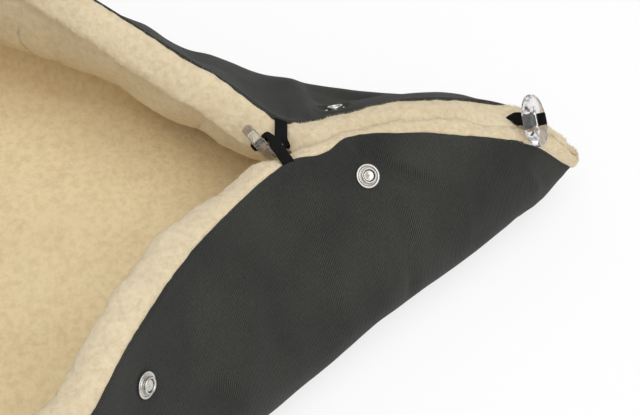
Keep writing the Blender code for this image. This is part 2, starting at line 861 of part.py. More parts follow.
def zips(tape_finish, row_finish, metal):
    fold = FLAP_LENGTH - ZIP_HEAD_GAP
    for side, side_name in ((LEFT, "left"), (RIGHT, "right")):
        frame = ZipFrame(side)
        pairs = (
            ("back", 0.0, ZIP_LENGTH, -1),
            ("flap", 0.0, fold - FOLD_GAP / 2, 1),
            ("front", fold + FOLD_GAP / 2, ZIP_LENGTH, 1),
        )
        for place, start, end, way in pairs:
            names = [f"zip_{kind}_{place}_{side_name}" for kind in ("tape", "teeth")]
            zip_half(names, frame, start, end, way, tape_finish, row_finish)
        stop = rounded(
            ZIP_LENGTH + FIT,
            ZIP_LENGTH + STOP_LENGTH,
            ROW_GAP / 2 + ROW_WIDTH,
            ROW_GAP / 2 + ROW_WIDTH,
            ROW_WIDTH / 4,
        )
        half = ROW_THICKNESS / 2
        slab("zip_stop_" + side_name, frame, stop, -half, half, metal)
        zip_slider(side_name, frame, metal)
        zip_pull(side_name, frame, metal)


def hinge_flap():
    """The flap's pieces all turn about the fold line."""
    fold = Vector((0.0, FOLD_Y, crown_height(HOOD_LENGTH + FLAP_LENGTH) + FOLD_LIFT))
    for thing in list(bpy.data.objects):
        if "flap" in thing.name:
            turn_about(thing, fold)


def foot_piping(finish):
    """The cord sewn into the seam round the foot, between the back's rim and the front's edge."""
    loop = whole_loop()
    start = zip_end() + ZIP_TAIL_ROOM
    path = [st.place(st.rim_in + SHELL / 2, ZIP_HEIGHT) for st in loop if st.s >= start - FIT]
    rings = []
    for i, point in enumerate(path):
        run = (path[min(i + 1, len(path) - 1)] - path[max(i - 1, 0)]).normalized()
        across = run.cross(Vector((0.0, 0.0, 1.0)))
        rings.append(
            [point + across * a + Vector((0.0, 0.0, b)) for a, b in circle(PIPING_RADIUS, 8)]
        )
    rings_solid("foot_piping", rings, finish)


def wall_point(side, share, row, depth, past=0.0):
    """A point of a hood wall at any place along it, on the faces between its sections."""
    stations = half_loop(side)
    s = share * HOOD_LENGTH
    i = max(k for k, st in enumerate(stations) if st.s <= s)
    low, high = stations[i], stations[i + 1]
    part_way = (s - low.s) / (high.s - low.s)
    return low.layer(row, depth, past).lerp(high.layer(row, depth, past), part_way)


def snap_frame(side, share, way_up):
    """Middle, directions across and outward of a snap's place, and the cloth's thickness there."""
    reach = STUD_RADIUS / HOOD_LENGTH
    low, high = (wall_point(side, share, row, 0.0) for row in (LAST_ROW - 2, LAST_ROW - 1))
    ends = [
        wall_point(side, share + way * reach, row, 0.0)
        for way in (-1, 1)
        for row in (LAST_ROW - 2, LAST_ROW - 1)
    ]
    run = ends[2].lerp(ends[3], way_up) - ends[0].lerp(ends[1], way_up)
    outward = (high - low).cross(run).normalized()
    if outward.dot(low - wall_point(side, share, LAST_ROW - 2, SHELL)) < 0:
        outward = -outward
    across = (high - low).normalized()
    middle = low.lerp(high, way_up)
    inside = (wall_point(side, share, row, SHELL) for row in (LAST_ROW - 2, LAST_ROW - 1))
    thickness = (middle - next(inside).lerp(next(inside), way_up)).dot(outward)
    return (middle, across, outward.cross(across), outward), thickness


def turned(frame, profile):
    """Rings round a snap's axis, from a profile of radii and outward places."""
    middle, first, second, outward = frame
    return [
        [middle + first * a + second * b + outward * place for a, b in circle(radius)]
        for radius, place in profile
    ]


def snaps(shell, lining, finish):
    """Ring studs outside the hood walls, held by eyelets rolled over inside the studs."""
    bore = POST_RADIUS + FIT
    floor = FIT + STUD_FLANGE
    stud = (
        (bore, FIT),
        (STUD_RADIUS, FIT),
        (STUD_RADIUS, floor - STUD_FLANGE / 3),
        (STUD_RADIUS - STUD_FLANGE / 3, floor),
        (COLLAR_RADIUS, floor),
        (COLLAR_RADIUS, STUD_HEIGHT - COLLAR_WALL / 3),
        (COLLAR_RADIUS - COLLAR_WALL / 3, STUD_HEIGHT),
        (COLLAR_RADIUS - COLLAR_WALL, STUD_HEIGHT),
        (COLLAR_RADIUS - COLLAR_WALL, floor),
        (bore, floor),
    )
    for place, side, share, way_up in SNAP_SHARES:
        frame, thickness = snap_frame(side, share, way_up)
        rings_solid("snap_stud_" + place, turned(frame, stud), finish, caps=False)
        eyelet = eyelet_profile(thickness + FIT, floor + FIT)
        rings_solid("snap_eyelet_" + place, turned(frame, eyelet), finish, caps=False)
        seat = (
            (EYELET_RADIUS + FIT, -TUNNEL_DEPTH),
            (EYELET_RADIUS + FIT, -thickness),
            (bore, -thickness),
            (bore, 0.0),
            (STUD_RADIUS + FIT, 0.0),
            (STUD_RADIUS + FIT, STUD_HEIGHT),
        )
        cut(shell, rings_solid("snap_seat_" + place, turned(frame, seat), finish))
        deep = thickness + EYELET_FLANGE + FIT * 2
        dent = ((EYELET_RADIUS + FIT, -deep), (EYELET_RADIUS + FIT, 0.0))
        cut(lining, rings_solid("snap_dent_" + place, turned(frame, dent), finish))


def eyelet_profile(under, lip):
    """A flange under the cloth, a tube through it and a lip rolled over inside the stud."""
    return (
        (POST_RADIUS - POST_WALL, -under - EYELET_FLANGE),
        (EYELET_RADIUS, -under - EYELET_FLANGE),
        (EYELET_RADIUS, -under),
        (POST_RADIUS, -under),
        (POST_RADIUS, lip),
        (LIP_RADIUS, lip),
        (LIP_RADIUS, lip + POST_WALL),
        (POST_RADIUS - POST_WALL, lip + POST_WALL),
    )


def hood_point(shares):
    across, back, up = shares
    return Vector((across * HALF_WIDTH, TIP_Y - back * HOOD_LENGTH, up * RIM_HEIGHT))


def knots(rows):
    return [(hood_point(place), Vector(wide)) for place, wide in rows]


def framed(path):
    """Each point of a path with its direction, the strap's width direction and the third one."""
    frames = []
    for i, (point, wide) in enumerate(path):
        way = (path[min(i + 1, len(path) - 1)][0] - path[max(i - 1, 0)][0]).normalized()
        across = (wide - way * wide.dot(way)).normalized()
        frames.append((point, way, across, way.cross(across)))
    return frames


def eased(path, steps):
    """The path through its knots as a smooth curve, with points between them."""
    fine = []
    for i in range(len(path) - 1):
        rows = [path[max(i - 1, 0)], path[i], path[i + 1], path[min(i + 2, len(path) - 1)]]
        slopes = [(rows[k + 2][0] - rows[k][0]) / 2 for k in (0, 1)]
        for k in range(steps):
            t = k / steps
            point = rows[1][0] * (2 * t**3 - 3 * t**2 + 1) + slopes[0] * (t**3 - 2 * t**2 + t)
            point += rows[2][0] * (3 * t**2 - 2 * t**3) + slopes[1] * (t**3 - t**2)
            fine.append((point, rows[1][1].lerp(rows[2][1], t)))
    return fine + [path[-1]]


def elastic(name, place, way, wide, pair, near_leg, far_leg, finish):
    """A flat elastic whose two strands meet, run through a stopper's hole and end in a loop."""
    half = STOPPER_THICKNESS / 2
    straight = [(place + way * reach, wide) for reach in (-half - ELASTIC_RUN, -half, half)]
    offset = STRAND_SPACING / 2
    frames = framed(pair + straight)[:-1] + [(place + way * half, way, wide, way.cross(wide))]
    near = [(point + third * offset, side) for point, _, side, third in frames]
    far = [(point - third * offset, side) for point, _, side, third in frames]
    third = way.cross(wide)
    tip = place + way * (half + LOOP_REACH)
    belly = place + way * (half + LOOP_REACH - offset)
    loop = [(belly + third * offset, wide), (tip, wide), (belly - third * offset, wide)]
    path = near_leg + near + loop + far[::-1] + far_leg
    rings = []
    for point, _, side, third in framed(eased(path, 3)):
        a, b = side * ELASTIC_WIDTH / 2, third * ELASTIC_THICKNESS / 2
        rings.append([point + a + b, point - a + b, point - a - b, point + a - b])
    rings_solid(name, rings, finish)


def rim_leg(side, share):
    """Where a strand leaves the seam between a hood wall's layers: its sewn end, then the rim."""
    depth = SHELL + LAYER_GAP + ELASTIC_THICKNESS / 2
    reach = ELASTIC_WIDTH / HOOD_LENGTH
    wide = wall_point(side, share - reach, LAST_ROW, depth) - wall_point(side, share + reach, LAST_ROW, depth)
    places = (-ELASTIC_TAIL, 0.0, ELASTIC_RISE)
    points = [wall_point(side, share, LAST_ROW, depth, place) for place in places]
    return [(point, -wide.normalized()) for point in points]


def elastics(finish):
    crown = hood_point(CROWN_PLACE_SHARES)
    pair = knots(CROWN_PAIR_SHARES)
    way, wide = CROWN_WAY.normalized(), CROWN_LONG_AXIS.normalized()
    elastic("crown_elastic", crown, way, wide, pair, [], [], finish)
    throat = hood_point(THROAT_PLACE_SHARES)
    near_leg = rim_leg(LEFT, THROAT_NEAR_SHARE) + knots(THROAT_NEAR_SHARES)
    far_leg = knots(THROAT_FAR_SHARES) + rim_leg(RIGHT, THROAT_FAR_SHARE)[::-1]
    way, wide = THROAT_WAY.normalized(), THROAT_LONG_AXIS.normalized()
    elastic("throat_elastic", throat, way, wide, [], near_leg, far_leg, finish)


def oval(length, width):
    points = []
    for way in (1, -1):
        for k in range(ROUND_SIDES // 2 + 1):
            turn = (math.pi * k / (ROUND_SIDES // 2) - math.pi / 2) * STOPPER_SPREAD_SHARE
            points.append((way * math.cos(turn) * length / 2, way * math.sin(turn) * width / 2))
    return points


def stopper(name, shares, way, wide, finish):
    """An oval lens with a slot for both strands of an elastic."""
    middle = hood_point(shares)
    way, wide = way.normalized(), wide.normalized()
    third = way.cross(wide)
    half = STOPPER_THICKNESS / 2
    slot_width = STRAND_SPACING + ELASTIC_THICKNESS + STOPPER_HOLE_FIT * 2
    slot_length = ELASTIC_WIDTH + STOPPER_HOLE_FIT * 2
    slot = stadium(slot_length + slot_width * STOPPER_ROUND_SHARE, slot_width, 0.0)
    outlines = []
    for share, size in STOPPER_EDGE_SHARES:
        outlines.append((half * share, oval(STOPPER_LENGTH * size, STOPPER_WIDTH * size)))
    outlines += [(half, slot), (-half, slot)]
    rings = [[middle + way * n + wide * a + third * b for a, b in line] for n, line in outlines]
    turn_about(rings_solid(name, rings, finish, caps=False), middle)


def stadium(length, width, offset):
    """A slot's outline, widened all round by an offset."""
    radius = width / 2 + offset
    straight = (length - width) / 2
    points = []
    for way in (1, -1):
        for k in range(ROUND_SIDES // 2 + 1):
            turn = math.pi * k / (ROUND_SIDES // 2) - math.pi / 2
            points.append((way * (straight + radius * math.cos(turn)), way * radius * math.sin(turn)))
    return points


def harness_slots(panel, lining, finish):
    """Slots through the back for the harness straps, each with a moulded binding."""
    top = BASE_DEPTH + PILE_FLOOR
    shoulder_y = FOLD_Y + SHOULDER_FROM_FOLD
    places = (
        ("shoulder_slot_binding_left", SHOULDER_SPACING / 2, shoulder_y),
        ("shoulder_slot_binding_right", -SHOULDER_SPACING / 2, shoulder_y),
        ("crotch_slot_binding", 0.0, TIP_Y - LENGTH + CROTCH_FROM_FOOT),
    )
    wide = SLOT_BINDING + SLOT_FLANGE
    profile = (
        (0.0, LAYER_GAP),
        (SLOT_BINDING, LAYER_GAP),
        (SLOT_BINDING, top + LAYER_GAP),
        (wide, top + LAYER_GAP),
        (wide, top + LAYER_GAP + SLOT_FLANGE_THICKNESS),
        (0.0, top + LAYER_GAP + SLOT_FLANGE_THICKNESS),
    )
    for name, x, y in places:
        rings = [
            [Vector((x + a, y + b, height)) for a, b in stadium(SLOT_LENGTH, SLOT_WIDTH, offset)]
            for offset, height in profile
        ]
        rings_solid(name, rings, finish, caps=False)
        hole = [
            [
                Vector((x + a, y + b, height))
                for a, b in stadium(SLOT_LENGTH, SLOT_WIDTH, SLOT_BINDING + LAYER_GAP)
            ]
            for height in (-top, top * 2)
        ]
        for target in (panel, lining):
            cut(target, rings_solid(name + "_hole_" + target.name, hole, finish))


def main():
    for thing in list(bpy.data.objects):
        bpy.data.objects.remove(thing)
    twill = material("twill", (0.042, 0.043, 0.038), 0.75)
    wool = material("wool_pile", (0.78, 0.66, 0.46), 0.95)
    nickel = material("nickel", (0.72, 0.70, 0.67), 0.25, metallic=1.0)
    webbing = material("webbing", (0.012, 0.012, 0.012), 0.8)
    coil = material("zip_coil", (0.02, 0.02, 0.02), 0.4)
    clear = material("clear_plastic", (0.92, 0.94, 0.95), 0.08, transmission=0.9)
    shell = side_shell(twill)
    panel = back_panel(twill)
    lining = back_lining(wool)
    front_pieces(twill, wool)
    zips(webbing, coil, nickel)
    hinge_flap()
    foot_piping(twill)
    snaps(shell, lining, nickel)
    elastics(webbing)
    stopper("crown_stopper", CROWN_PLACE_SHARES, CROWN_WAY, CROWN_LONG_AXIS, clear)
    stopper("throat_stopper", THROAT_PLACE_SHARES, THROAT_WAY, THROAT_LONG_AXIS, clear)
    harness_slots(panel, lining, twill)


main()
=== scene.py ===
"""Looks of the stroller footmuff: twill shell, wool pile lining, elastics with clear stoppers,
ring snaps, zips, harness slots, and the studio round them. Lengths are in metres, in the bag's
frame: +Y to the head, +X to the child's left, +Z up."""

import math

import bmesh
import bpy
import numpy as np
from mathutils import Matrix, Vector, geometry, noise


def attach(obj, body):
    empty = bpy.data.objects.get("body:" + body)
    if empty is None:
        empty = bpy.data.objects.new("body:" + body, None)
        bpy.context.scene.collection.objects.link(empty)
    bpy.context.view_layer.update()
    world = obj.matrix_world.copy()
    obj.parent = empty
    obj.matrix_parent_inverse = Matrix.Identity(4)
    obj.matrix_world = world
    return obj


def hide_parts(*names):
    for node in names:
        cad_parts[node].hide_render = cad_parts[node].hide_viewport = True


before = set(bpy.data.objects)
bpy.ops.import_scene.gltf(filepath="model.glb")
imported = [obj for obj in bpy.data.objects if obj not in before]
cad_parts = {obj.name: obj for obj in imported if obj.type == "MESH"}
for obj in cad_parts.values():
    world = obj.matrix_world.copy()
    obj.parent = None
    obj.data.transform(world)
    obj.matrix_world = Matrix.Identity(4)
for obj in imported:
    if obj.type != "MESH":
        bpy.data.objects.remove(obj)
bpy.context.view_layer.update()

LEFT, RIGHT = 1, -1
UP = np.array((0.0, 0.0, 1.0))
LENGTH, BODY_WIDTH, FOOT_WIDTH = 1.0, 0.43, 0.39
HOOD_LENGTH, FLAP_LENGTH = 0.40, 0.15
HALF_WIDTH, TIP_Y = BODY_WIDTH / 2, LENGTH / 2
FOLD_Y = TIP_Y - HOOD_LENGTH - FLAP_LENGTH
RIM_HEIGHT, ZIP_HEIGHT, CROWN_HEIGHT, TOE_HEIGHT = 0.103, 0.068, 0.132, 0.122
FOOT_RADIUS, BASE_ROUND, RIM_INSET = 0.10, 0.022, 0.006
TIP_RADIUS, TIP_HEIGHT, TIP_TURN = 0.008, 0.020, math.radians(60)
# The nose's sole is drawn back this far, over this length and up to this height
NOSE_PULL, NOSE_REACH, NOSE_RISE = 0.034, 0.080, 0.028
NOSE_LIFT = (0.0, 0.0006, 0.0024)
# Places along the hood, from the tip: the left rim's dip and the start of its end
DIP_START, DIP_FULL, DIP_EASES, DIP_END, THROAT_DIP = 0.136, 0.149, 0.151, 0.168, 0.0040
HOOD_START, HOOD_EASES = 0.0055, 0.365
# How full the wall's curve is on each side
LEFT_CURVE, RIGHT_CURVE = 0.40, 0.64
# Round a snap: the pressed part, its edge, and the pucker's middle and width
SEAT_RADIUS, SEAT_EDGE, PUCKER, PUCKER_RADIUS, PUCKER_WIDTH = 0.0068, 0.0110, 0.0014, 0.0085, 0.0018
SHELL, BASE_DEPTH, TUNNEL_DEPTH = 0.0025, 0.0029, 0.0049
PILE_FLOOR, PILE_WALL, PILE_FRONT, PILE_CROWN = 0.011, 0.015, 0.010, 0.003
ZIP_START, ZIP_END, ZIP_LENGTH, ZIP_OPENING = 0.406, 0.855, 0.445, 0.012
ZIP_X, ZIP_SLANT = 0.20121, 0.03138
TAPE_WIDTH, TAPE_HALF, TAPE_NEAR, TAPE_FAR = 0.010, 0.0004, 0.0029, 0.016
COIL_PITCH, COIL_MIDDLE, COIL_TURNS, COIL_SLANT = 0.00125, 0.0017, 10, 0.0003
COIL_OUT, COIL_UP, COIL_WIRE, COIL_CORE = 0.00095, 0.00066, 0.00031, (0.0006, 0.0004)
PIPING_START, PIPING_RADIUS, PIPING_SIDES, PIPING_ROUND = 0.875, 0.003, 14, 0.0188
STRAP_WIDTH, STRAP_THICKNESS, STRAP_SIDES, STRAP_BED = 0.0065, 0.001, 16, 0.0011
STOPPER_LENGTH, STOPPER_WIDTH, STOPPER_HALF, STOPPER_FACE = 0.028, 0.020, 0.00275, 0.00305
SLOT_LENGTH, SLOT_WIDTH, SLOT_EDGE, SLOT_STITCH = 0.050, 0.012, 0.0034, 0.0085
STOPPER_SLOT, STOPPER_SLOT_HALF = (0.00994, 0.0046), 0.0029
STITCH_PITCH, STITCH_RADIUS, STITCH_RISE, STITCH_HIGH = 0.0034, 0.00026, 0.0015, 0.00022
STITCH_START, STITCH_FOLD, STITCH_FRONT, STITCH_END = 0.402, 0.548, 0.5515, 0.874
NAP_HOOD, HAIR_HALF_WIDTH, HAIR_ROOT, HAIR_LENGTHS = 0.36, 0.00009, 0.0006, (0.0012, 0.0023)
CAMERA_ANCHOR, CAMERA_DISTANCE = np.array((0.031, 0.370, 0.0695)), 0.75
FLOOR_REACH, FLOOR_LEVEL, FLOOR_GLOW = 40.0, -0.0008, 0.75
POLE, CHEST_FULL, CHEST_BOW = LENGTH - FOOT_WIDTH / 2, 0.0035, 0.018
FAR_BULGE, NEAR_BULGE = 0.018, 0.004
GAP, FOLD_GAP = 0.0004, 0.0003

# Lumps of each layer: their size and height, and which noise they come from
LUMPS = {
    "shell": ((0.035, 0.0013, 1), (0.012, 0.0003, 2)),
    "lining": ((0.016, 0.0007, 3), (0.0045, 0.00055, 4)),
    "front": ((0.045, 0.0011, 11), (0.014, 0.00025, 12)),
    "front_pile": ((0.018, 0.0009, 13), (0.005, 0.0006, 14)),
}
# Lower edge of the hood: share of the hood's length, half width as a share
BASE_ROWS = (
    (0.010, 0.032), (0.075, 0.098), (0.140, 0.170), (0.225, 0.255), (0.410, 0.450),
    (0.600, 0.680), (0.740, 0.840), (0.880, 0.935), (1.000, 0.980), (1.100, 1.000),
)
# Rims of the hood walls: share of length, half width, height, lean
RIM_ROWS = {
    LEFT: (
        (0.010, 0.030, 0.19, 0.10), (0.075, 0.050, 0.46, 0.35), (0.135, 0.070, 0.60, 0.45),
        (0.245, 0.079, 0.76, 0.50), (0.345, 0.086, 0.83, 0.48), (0.425, 0.153, 0.87, 0.42),
        (0.500, 0.274, 0.92, 0.36), (0.583, 0.442, 0.97, 0.30), (0.630, 0.563, 0.99, 0.24),
        (0.668, 0.665, 1.00, 0.18), (0.703, 0.763, 0.98, 0.12), (0.780, 0.860, 0.93, 0.06),
        (0.900, 0.935, 0.80, 0.00), (1.000, 0.960, 0.66, 0.00),
    ),
    RIGHT: (
        (0.010, 0.030, 0.19, 0.10), (0.075, 0.063, 0.48, 0.45), (0.135, 0.078, 0.60, 0.62),
        (0.245, 0.079, 0.70, 0.66), (0.345, 0.074, 0.68, 0.68), (0.405, 0.080, 0.71, 0.68),
        (0.463, 0.190, 0.80, 0.66), (0.515, 0.288, 0.86, 0.60), (0.573, 0.405, 0.93, 0.50),
        (0.620, 0.500, 0.98, 0.38), (0.670, 0.620, 1.00, 0.26), (0.720, 0.740, 0.98, 0.16),
        (0.800, 0.860, 0.91, 0.08), (0.900, 0.930, 0.80, 0.00), (1.000, 0.960, 0.66, 0.00),
    ),
}

# Snaps: middle on the cloth, direction across, outward
SNAPS = {
    "left_head": ((0.03207, 0.3700, 0.07145), (-0.782, 0.000, 0.623), (0.612, 0.182, 0.769)),
    "left_face": ((0.13881, 0.2420, 0.08130), (-0.418, 0.000, 0.908), (0.594, 0.756, 0.273)),
    "right_head": ((-0.02680, 0.3688, 0.06205), (0.804, 0.000, 0.594), (-0.594, -0.020, 0.804)),
    "right_face": ((-0.13703, 0.2420, 0.07696), (0.597, 0.000, 0.802), (-0.627, 0.625, 0.466)),
}
# Stoppers: body, middle, direction through, long direction
STOPPERS = {
    "crown_stopper": ((0.00581, 0.46748, 0.06250), (0.443, 0.733, 0.516), (0.743, 0.021, -0.668)),
    "throat_stopper": ((0.00034, 0.32220, 0.07560), (0.286, -0.846, -0.450), (0.932, 0.142, 0.333)),
}
# Elastics: points along the middle of the strap and the direction of its width
CROWN_STRAP = (
    ((-0.00250, 0.44700, 0.04500), (0.000, 0.768, -0.640)),
    ((-0.00200, 0.45550, 0.05400), (0.400, 0.600, -0.650)),
    ((0.00040, 0.45980, 0.06000), (0.743, 0.021, -0.668)),
    ((0.00290, 0.46300, 0.06150), (0.744, 0.021, -0.668)),
    ((0.00409, 0.46615, 0.06054), (0.744, 0.021, -0.668)),
    ((0.00652, 0.47018, 0.06339), (0.743, 0.021, -0.668)),
    ((0.00763, 0.47201, 0.06468), (0.743, 0.021, -0.668)),
    ((0.00858, 0.47206, 0.06573), (0.743, 0.021, -0.668)),
    ((0.00863, 0.47065, 0.06575), (0.743, 0.021, -0.668)),
    ((0.00752, 0.46881, 0.06446), (0.743, 0.021, -0.668)),
    ((0.00509, 0.46478, 0.06162), (0.744, 0.021, -0.668)),
    ((0.00369, 0.46230, 0.06260), (0.744, 0.021, -0.668)),
    ((0.00060, 0.45880, 0.06110), (0.743, 0.021, -0.668)),
    ((-0.00180, 0.45430, 0.05500), (0.400, 0.600, -0.650)),
    ((-0.00230, 0.44580, 0.04600), (0.000, 0.768, -0.640)),
)
THROAT_STRAP = (
    ((0.03330, 0.33040, 0.08300), (0.450, -0.880, 0.100)),
    ((0.03200, 0.33000, 0.08850), (0.450, -0.880, 0.100)),
    ((0.03000, 0.32990, 0.08985), (0.450, -0.880, 0.100)),
    ((0.02400, 0.32942, 0.08770), (0.520, -0.830, 0.120)),
    ((0.01800, 0.32878, 0.08620), (0.580, -0.780, 0.140)),
    ((0.01150, 0.32845, 0.08403), (0.650, -0.730, 0.160)),
    ((0.00550, 0.32820, 0.08180), (0.560, -0.510, 0.140)),
    ((-0.00100, 0.32640, 0.07920), (0.520, 0.090, 0.190)),
    ((-0.00066, 0.32401, 0.07767), (0.650, 0.100, 0.240)),
    ((0.00091, 0.31936, 0.07519), (0.932, 0.142, 0.333)),
    ((0.00100, 0.31910, 0.07506), (0.932, 0.142, 0.333)),
    ((0.00150, 0.31877, 0.07378), (0.932, 0.142, 0.333)),
    ((0.00143, 0.32013, 0.07340), (0.932, 0.142, 0.333)),
    ((0.00135, 0.32039, 0.07354), (0.932, 0.142, 0.333)),
    ((-0.00022, 0.32504, 0.07601), (0.650, 0.100, 0.240)),
    ((-0.00108, 0.32758, 0.07736), (0.650, 0.100, 0.240)),
    ((0.00419, 0.33080, 0.07650), (0.450, -0.870, 0.150)),
    ((0.00770, 0.33326, 0.07680), (0.000, -1.000, 0.000)),
    ((0.00400, 0.33272, 0.07900), (-0.100, -0.990, 0.000)),
    ((-0.00620, 0.33490, 0.07550), (-0.240, -0.970, 0.000)),
    ((-0.01400, 0.33666, 0.07344), (-0.381, -0.893, 0.240)),
    ((-0.01774, 0.33700, 0.07180), (-0.381, -0.893, 0.240)),
    ((-0.02212, 0.33700, 0.06900), (-0.381, -0.893, 0.240)),
)
SLOTS = ((0.065, 0.0), (-0.065, 0.0), (0.0, -0.23))
# Creases of the cloth: start, end, width, height
FOLDS = (
    ((0.0180, 0.3705, 0.0835), (0.0268, 0.3685, 0.0758), 0.0016, -0.0022),
    ((0.0205, 0.3772, 0.0805), (0.0290, 0.3780, 0.0725), 0.0044, -0.0031),
    ((0.0290, 0.3790, 0.0722), (0.0375, 0.4060, 0.0598), 0.0038, -0.0034),
    ((0.0262, 0.3810, 0.0772), (0.0330, 0.4100, 0.0655), 0.0040, 0.0018),
    ((0.0441, 0.3845, 0.0585), (0.0622, 0.3868, 0.0410), 0.0045, -0.0033),
    ((0.0660, 0.3828, 0.0380), (0.0720, 0.3880, 0.0150), 0.0038, -0.0028),
    ((0.1266, 0.2685, 0.0563), (0.1268, 0.2825, 0.0398), 0.0062, -0.0036),
    ((0.0623, 0.3066, 0.0819), (0.1260, 0.2844, 0.0385), 0.0100, 0.0034),
    ((0.0447, 0.3325, 0.0755), (0.0961, 0.3346, 0.0310), 0.0090, -0.0024),
    ((0.0214, 0.4605, 0.0413), (0.0217, 0.4686, 0.0246), 0.0032, 0.0018),
    ((0.0328, 0.4165, 0.0575), (0.0485, 0.4204, 0.0279), 0.0062, 0.0022),
    ((-0.0170, 0.3520, 0.0700), (-0.0420, 0.3560, 0.0520), 0.0030, 0.0016),
    ((-0.0180, 0.3430, 0.0710), (-0.0400, 0.3430, 0.0550), 0.0030, -0.0016),
    ((-0.0480, 0.3080, 0.0840), (-0.0800, 0.3000, 0.0600), 0.0050, -0.0030),
)
# How far the far wall stands out of its plain form: place along the hood, out
FAR_ROWS = (
    (0.000, -0.0010), (0.045, -0.0008), (0.062, 0.0004), (0.078, -0.0020), (0.098, -0.0054),
    (0.109, -0.0090), (0.118, -0.0088), (0.126, -0.0076), (0.135, -0.0048), (0.144, 0.0004),
    (0.156, 0.0008), (0.172, 0.0014), (0.184, -0.0014), (0.195, -0.0036), (0.207, -0.0008),
    (0.220, 0.0020), (0.260, 0.0008), (0.300, 0.0000), (0.400, 0.0000),
)
# The wool's rolls on the hood's rims: place along it, height of the near and the far roll, and
# how far their meeting lies under the rims
ROLL_ROWS = (
    (0.000, 0.0050, 0.0050, -0.0026), (0.005, 0.0050, 0.0050, -0.0060),
    (0.010, 0.0050, 0.0050, -0.0086), (0.017, 0.0050, 0.0050, -0.0090),
    (0.024, 0.0050, 0.0040, -0.0068), (0.032, 0.0052, 0.0025, -0.0042),
    (0.045, 0.0056, 0.0020, -0.0020), (0.060, 0.0056, 0.0024, 0.0002),
    (0.080, 0.0055, 0.0032, 0.0016), (0.100, 0.0050, 0.0038, 0.0022),
    (0.110, 0.0044, 0.0040, 0.0022), (0.120, 0.0032, 0.0040, 0.0022),
    (0.130, 0.0028, 0.0042, 0.0024), (0.140, 0.0033, 0.0044, 0.0026),
    (0.147, 0.0043, 0.0046, 0.0028), (0.153, 0.0054, 0.0049, 0.0030),
    (0.180, 0.0053, 0.0052, 0.0030), (0.330, 0.0052, 0.0052, 0.0030),
    (0.400, 0.0030, 0.0030, 0.0030),
)
# Where the two sides of the closed hood meet: place along it, across
CREASE_ROWS = (
    (0.000, 0.0000), (0.045, 0.0045), (0.100, 0.0048), (0.120, 0.0052), (0.135, 0.0080),
    (0.150, 0.0130), (0.165, 0.0170), (0.190, 0.0160), (0.250, 0.0000), (0.400, 0.0000),
)
# Columns of a section: place of its foot, direction into the bag, radius of the corner, the rim's
# inset, height and lean, the side, and the place along the bag from its tip
X, Y, IN_X, IN_Y, ROUND, INSET, TALL, LEAN, SIDE, PLACE = range(10)


# Sections of the bag's wall, as in the CAD, but close together

def along(rows, column, at):
    """One column of a table at several places between its rows, on a smooth curve."""
    table = np.array(rows)
    places, values, last = table[:, 0], table[:, column], len(rows) - 1
    i = np.clip(np.searchsorted(places, at, side="right") - 1, 0, last - 1)
    step = places[i + 1] - places[i]

    def slope(k):
        low, high = np.maximum(k - 1, 0), np.minimum(k + 1, last)
        return (values[high] - values[low]) / (places[high] - places[low])

    t = np.clip((at - places[i]) / step, 0, 1)
    return (
        (2 * t**3 - 3 * t**2 + 1) * values[i]
        + (t**3 - 2 * t**2 + t) * step * slope(i)
        + (3 * t**2 - 2 * t**3) * values[i + 1]
        + (t**3 - t**2) * step * slope(i + 1)
    )


def blend(low, high, at):
    """A soft step from 0 at low to 1 at high, or down from high where low is the larger."""
    t = np.clip((np.asarray(at, float) - low) / (high - low), 0, 1)
    return t * t * (3 - 2 * t)


def unit(vectors):
    return vectors / np.maximum(np.linalg.norm(vectors, axis=-1, keepdims=True), 1e-12)


def columns(*values):
    """The columns of a section table, where a single number fills its column."""
    return np.column_stack(np.broadcast_arrays(*values))


def hood_sections(s, side):
    share = s / HOOD_LENGTH
    half = along(BASE_ROWS, 1, share) * HALF_WIDTH
    turn = TIP_TURN / 2 * np.maximum(0, 1 - share / 0.08)
    rows = RIM_ROWS[side]
    rim_half = np.minimum(along(rows, 1, share) * HALF_WIDTH, half - RIM_INSET / 4)
    return columns(
        side * half, TIP_Y - s, -side * np.cos(turn), -np.sin(turn),
        np.minimum(BASE_ROUND, 0.8 * half), half - rim_half,
        along(rows, 2, share) * RIM_HEIGHT, along(rows, 3, share) * math.pi / 2, side, s,
    )


def seam_half(s):
    """Half the opening between the bag and its front: a zip, and past its end the piping."""
    past = blend(ZIP_END, ZIP_END + 0.020, s)
    return ZIP_OPENING / 2 + (PIPING_RADIUS + GAP - ZIP_OPENING / 2) * past


def body_sections(s, side):
    start = float(along(BASE_ROWS, 1, np.array([1.0]))[0]) * HALF_WIDTH
    share = (s - HOOD_LENGTH) / (LENGTH - FOOT_RADIUS - HOOD_LENGTH)
    half = start + (FOOT_WIDTH / 2 - start) * share
    rim = ZIP_HEIGHT - seam_half(s)
    return columns(side * half, TIP_Y - s, -side, 0, BASE_ROUND, RIM_INSET, rim, 0, side, s)


def tip_sections(share, side):
    turn = TIP_TURN * share
    x, y = side * np.sin(turn), np.cos(turn)
    return columns(
        x * TIP_RADIUS, TIP_Y - TIP_RADIUS + y * TIP_RADIUS, -x, -y, TIP_RADIUS / 2,
        RIM_INSET / 6, TIP_HEIGHT, 0, side, TIP_RADIUS * (1 - y),
    )


def foot_sections(share, side):
    turn = math.pi / 2 * share
    x, y = side * np.cos(turn), -np.sin(turn)
    return columns(
        side * (FOOT_WIDTH / 2 - FOOT_RADIUS) + x * FOOT_RADIUS,
        -TIP_Y + FOOT_RADIUS + y * FOOT_RADIUS, -x, -y, BASE_ROUND, RIM_INSET,
        ZIP_HEIGHT - seam_half(LENGTH), 0, side, LENGTH,
    )


def foot_straight(foot, steps):
    """Sections on the foot's straight edge, from its corner in to its middle."""
    share = np.linspace(1, 0, steps)[1:-1]
    straight = np.repeat(foot[-1:], len(share), 0)
    straight[:, X] = foot[-1, X] * share
    return straight


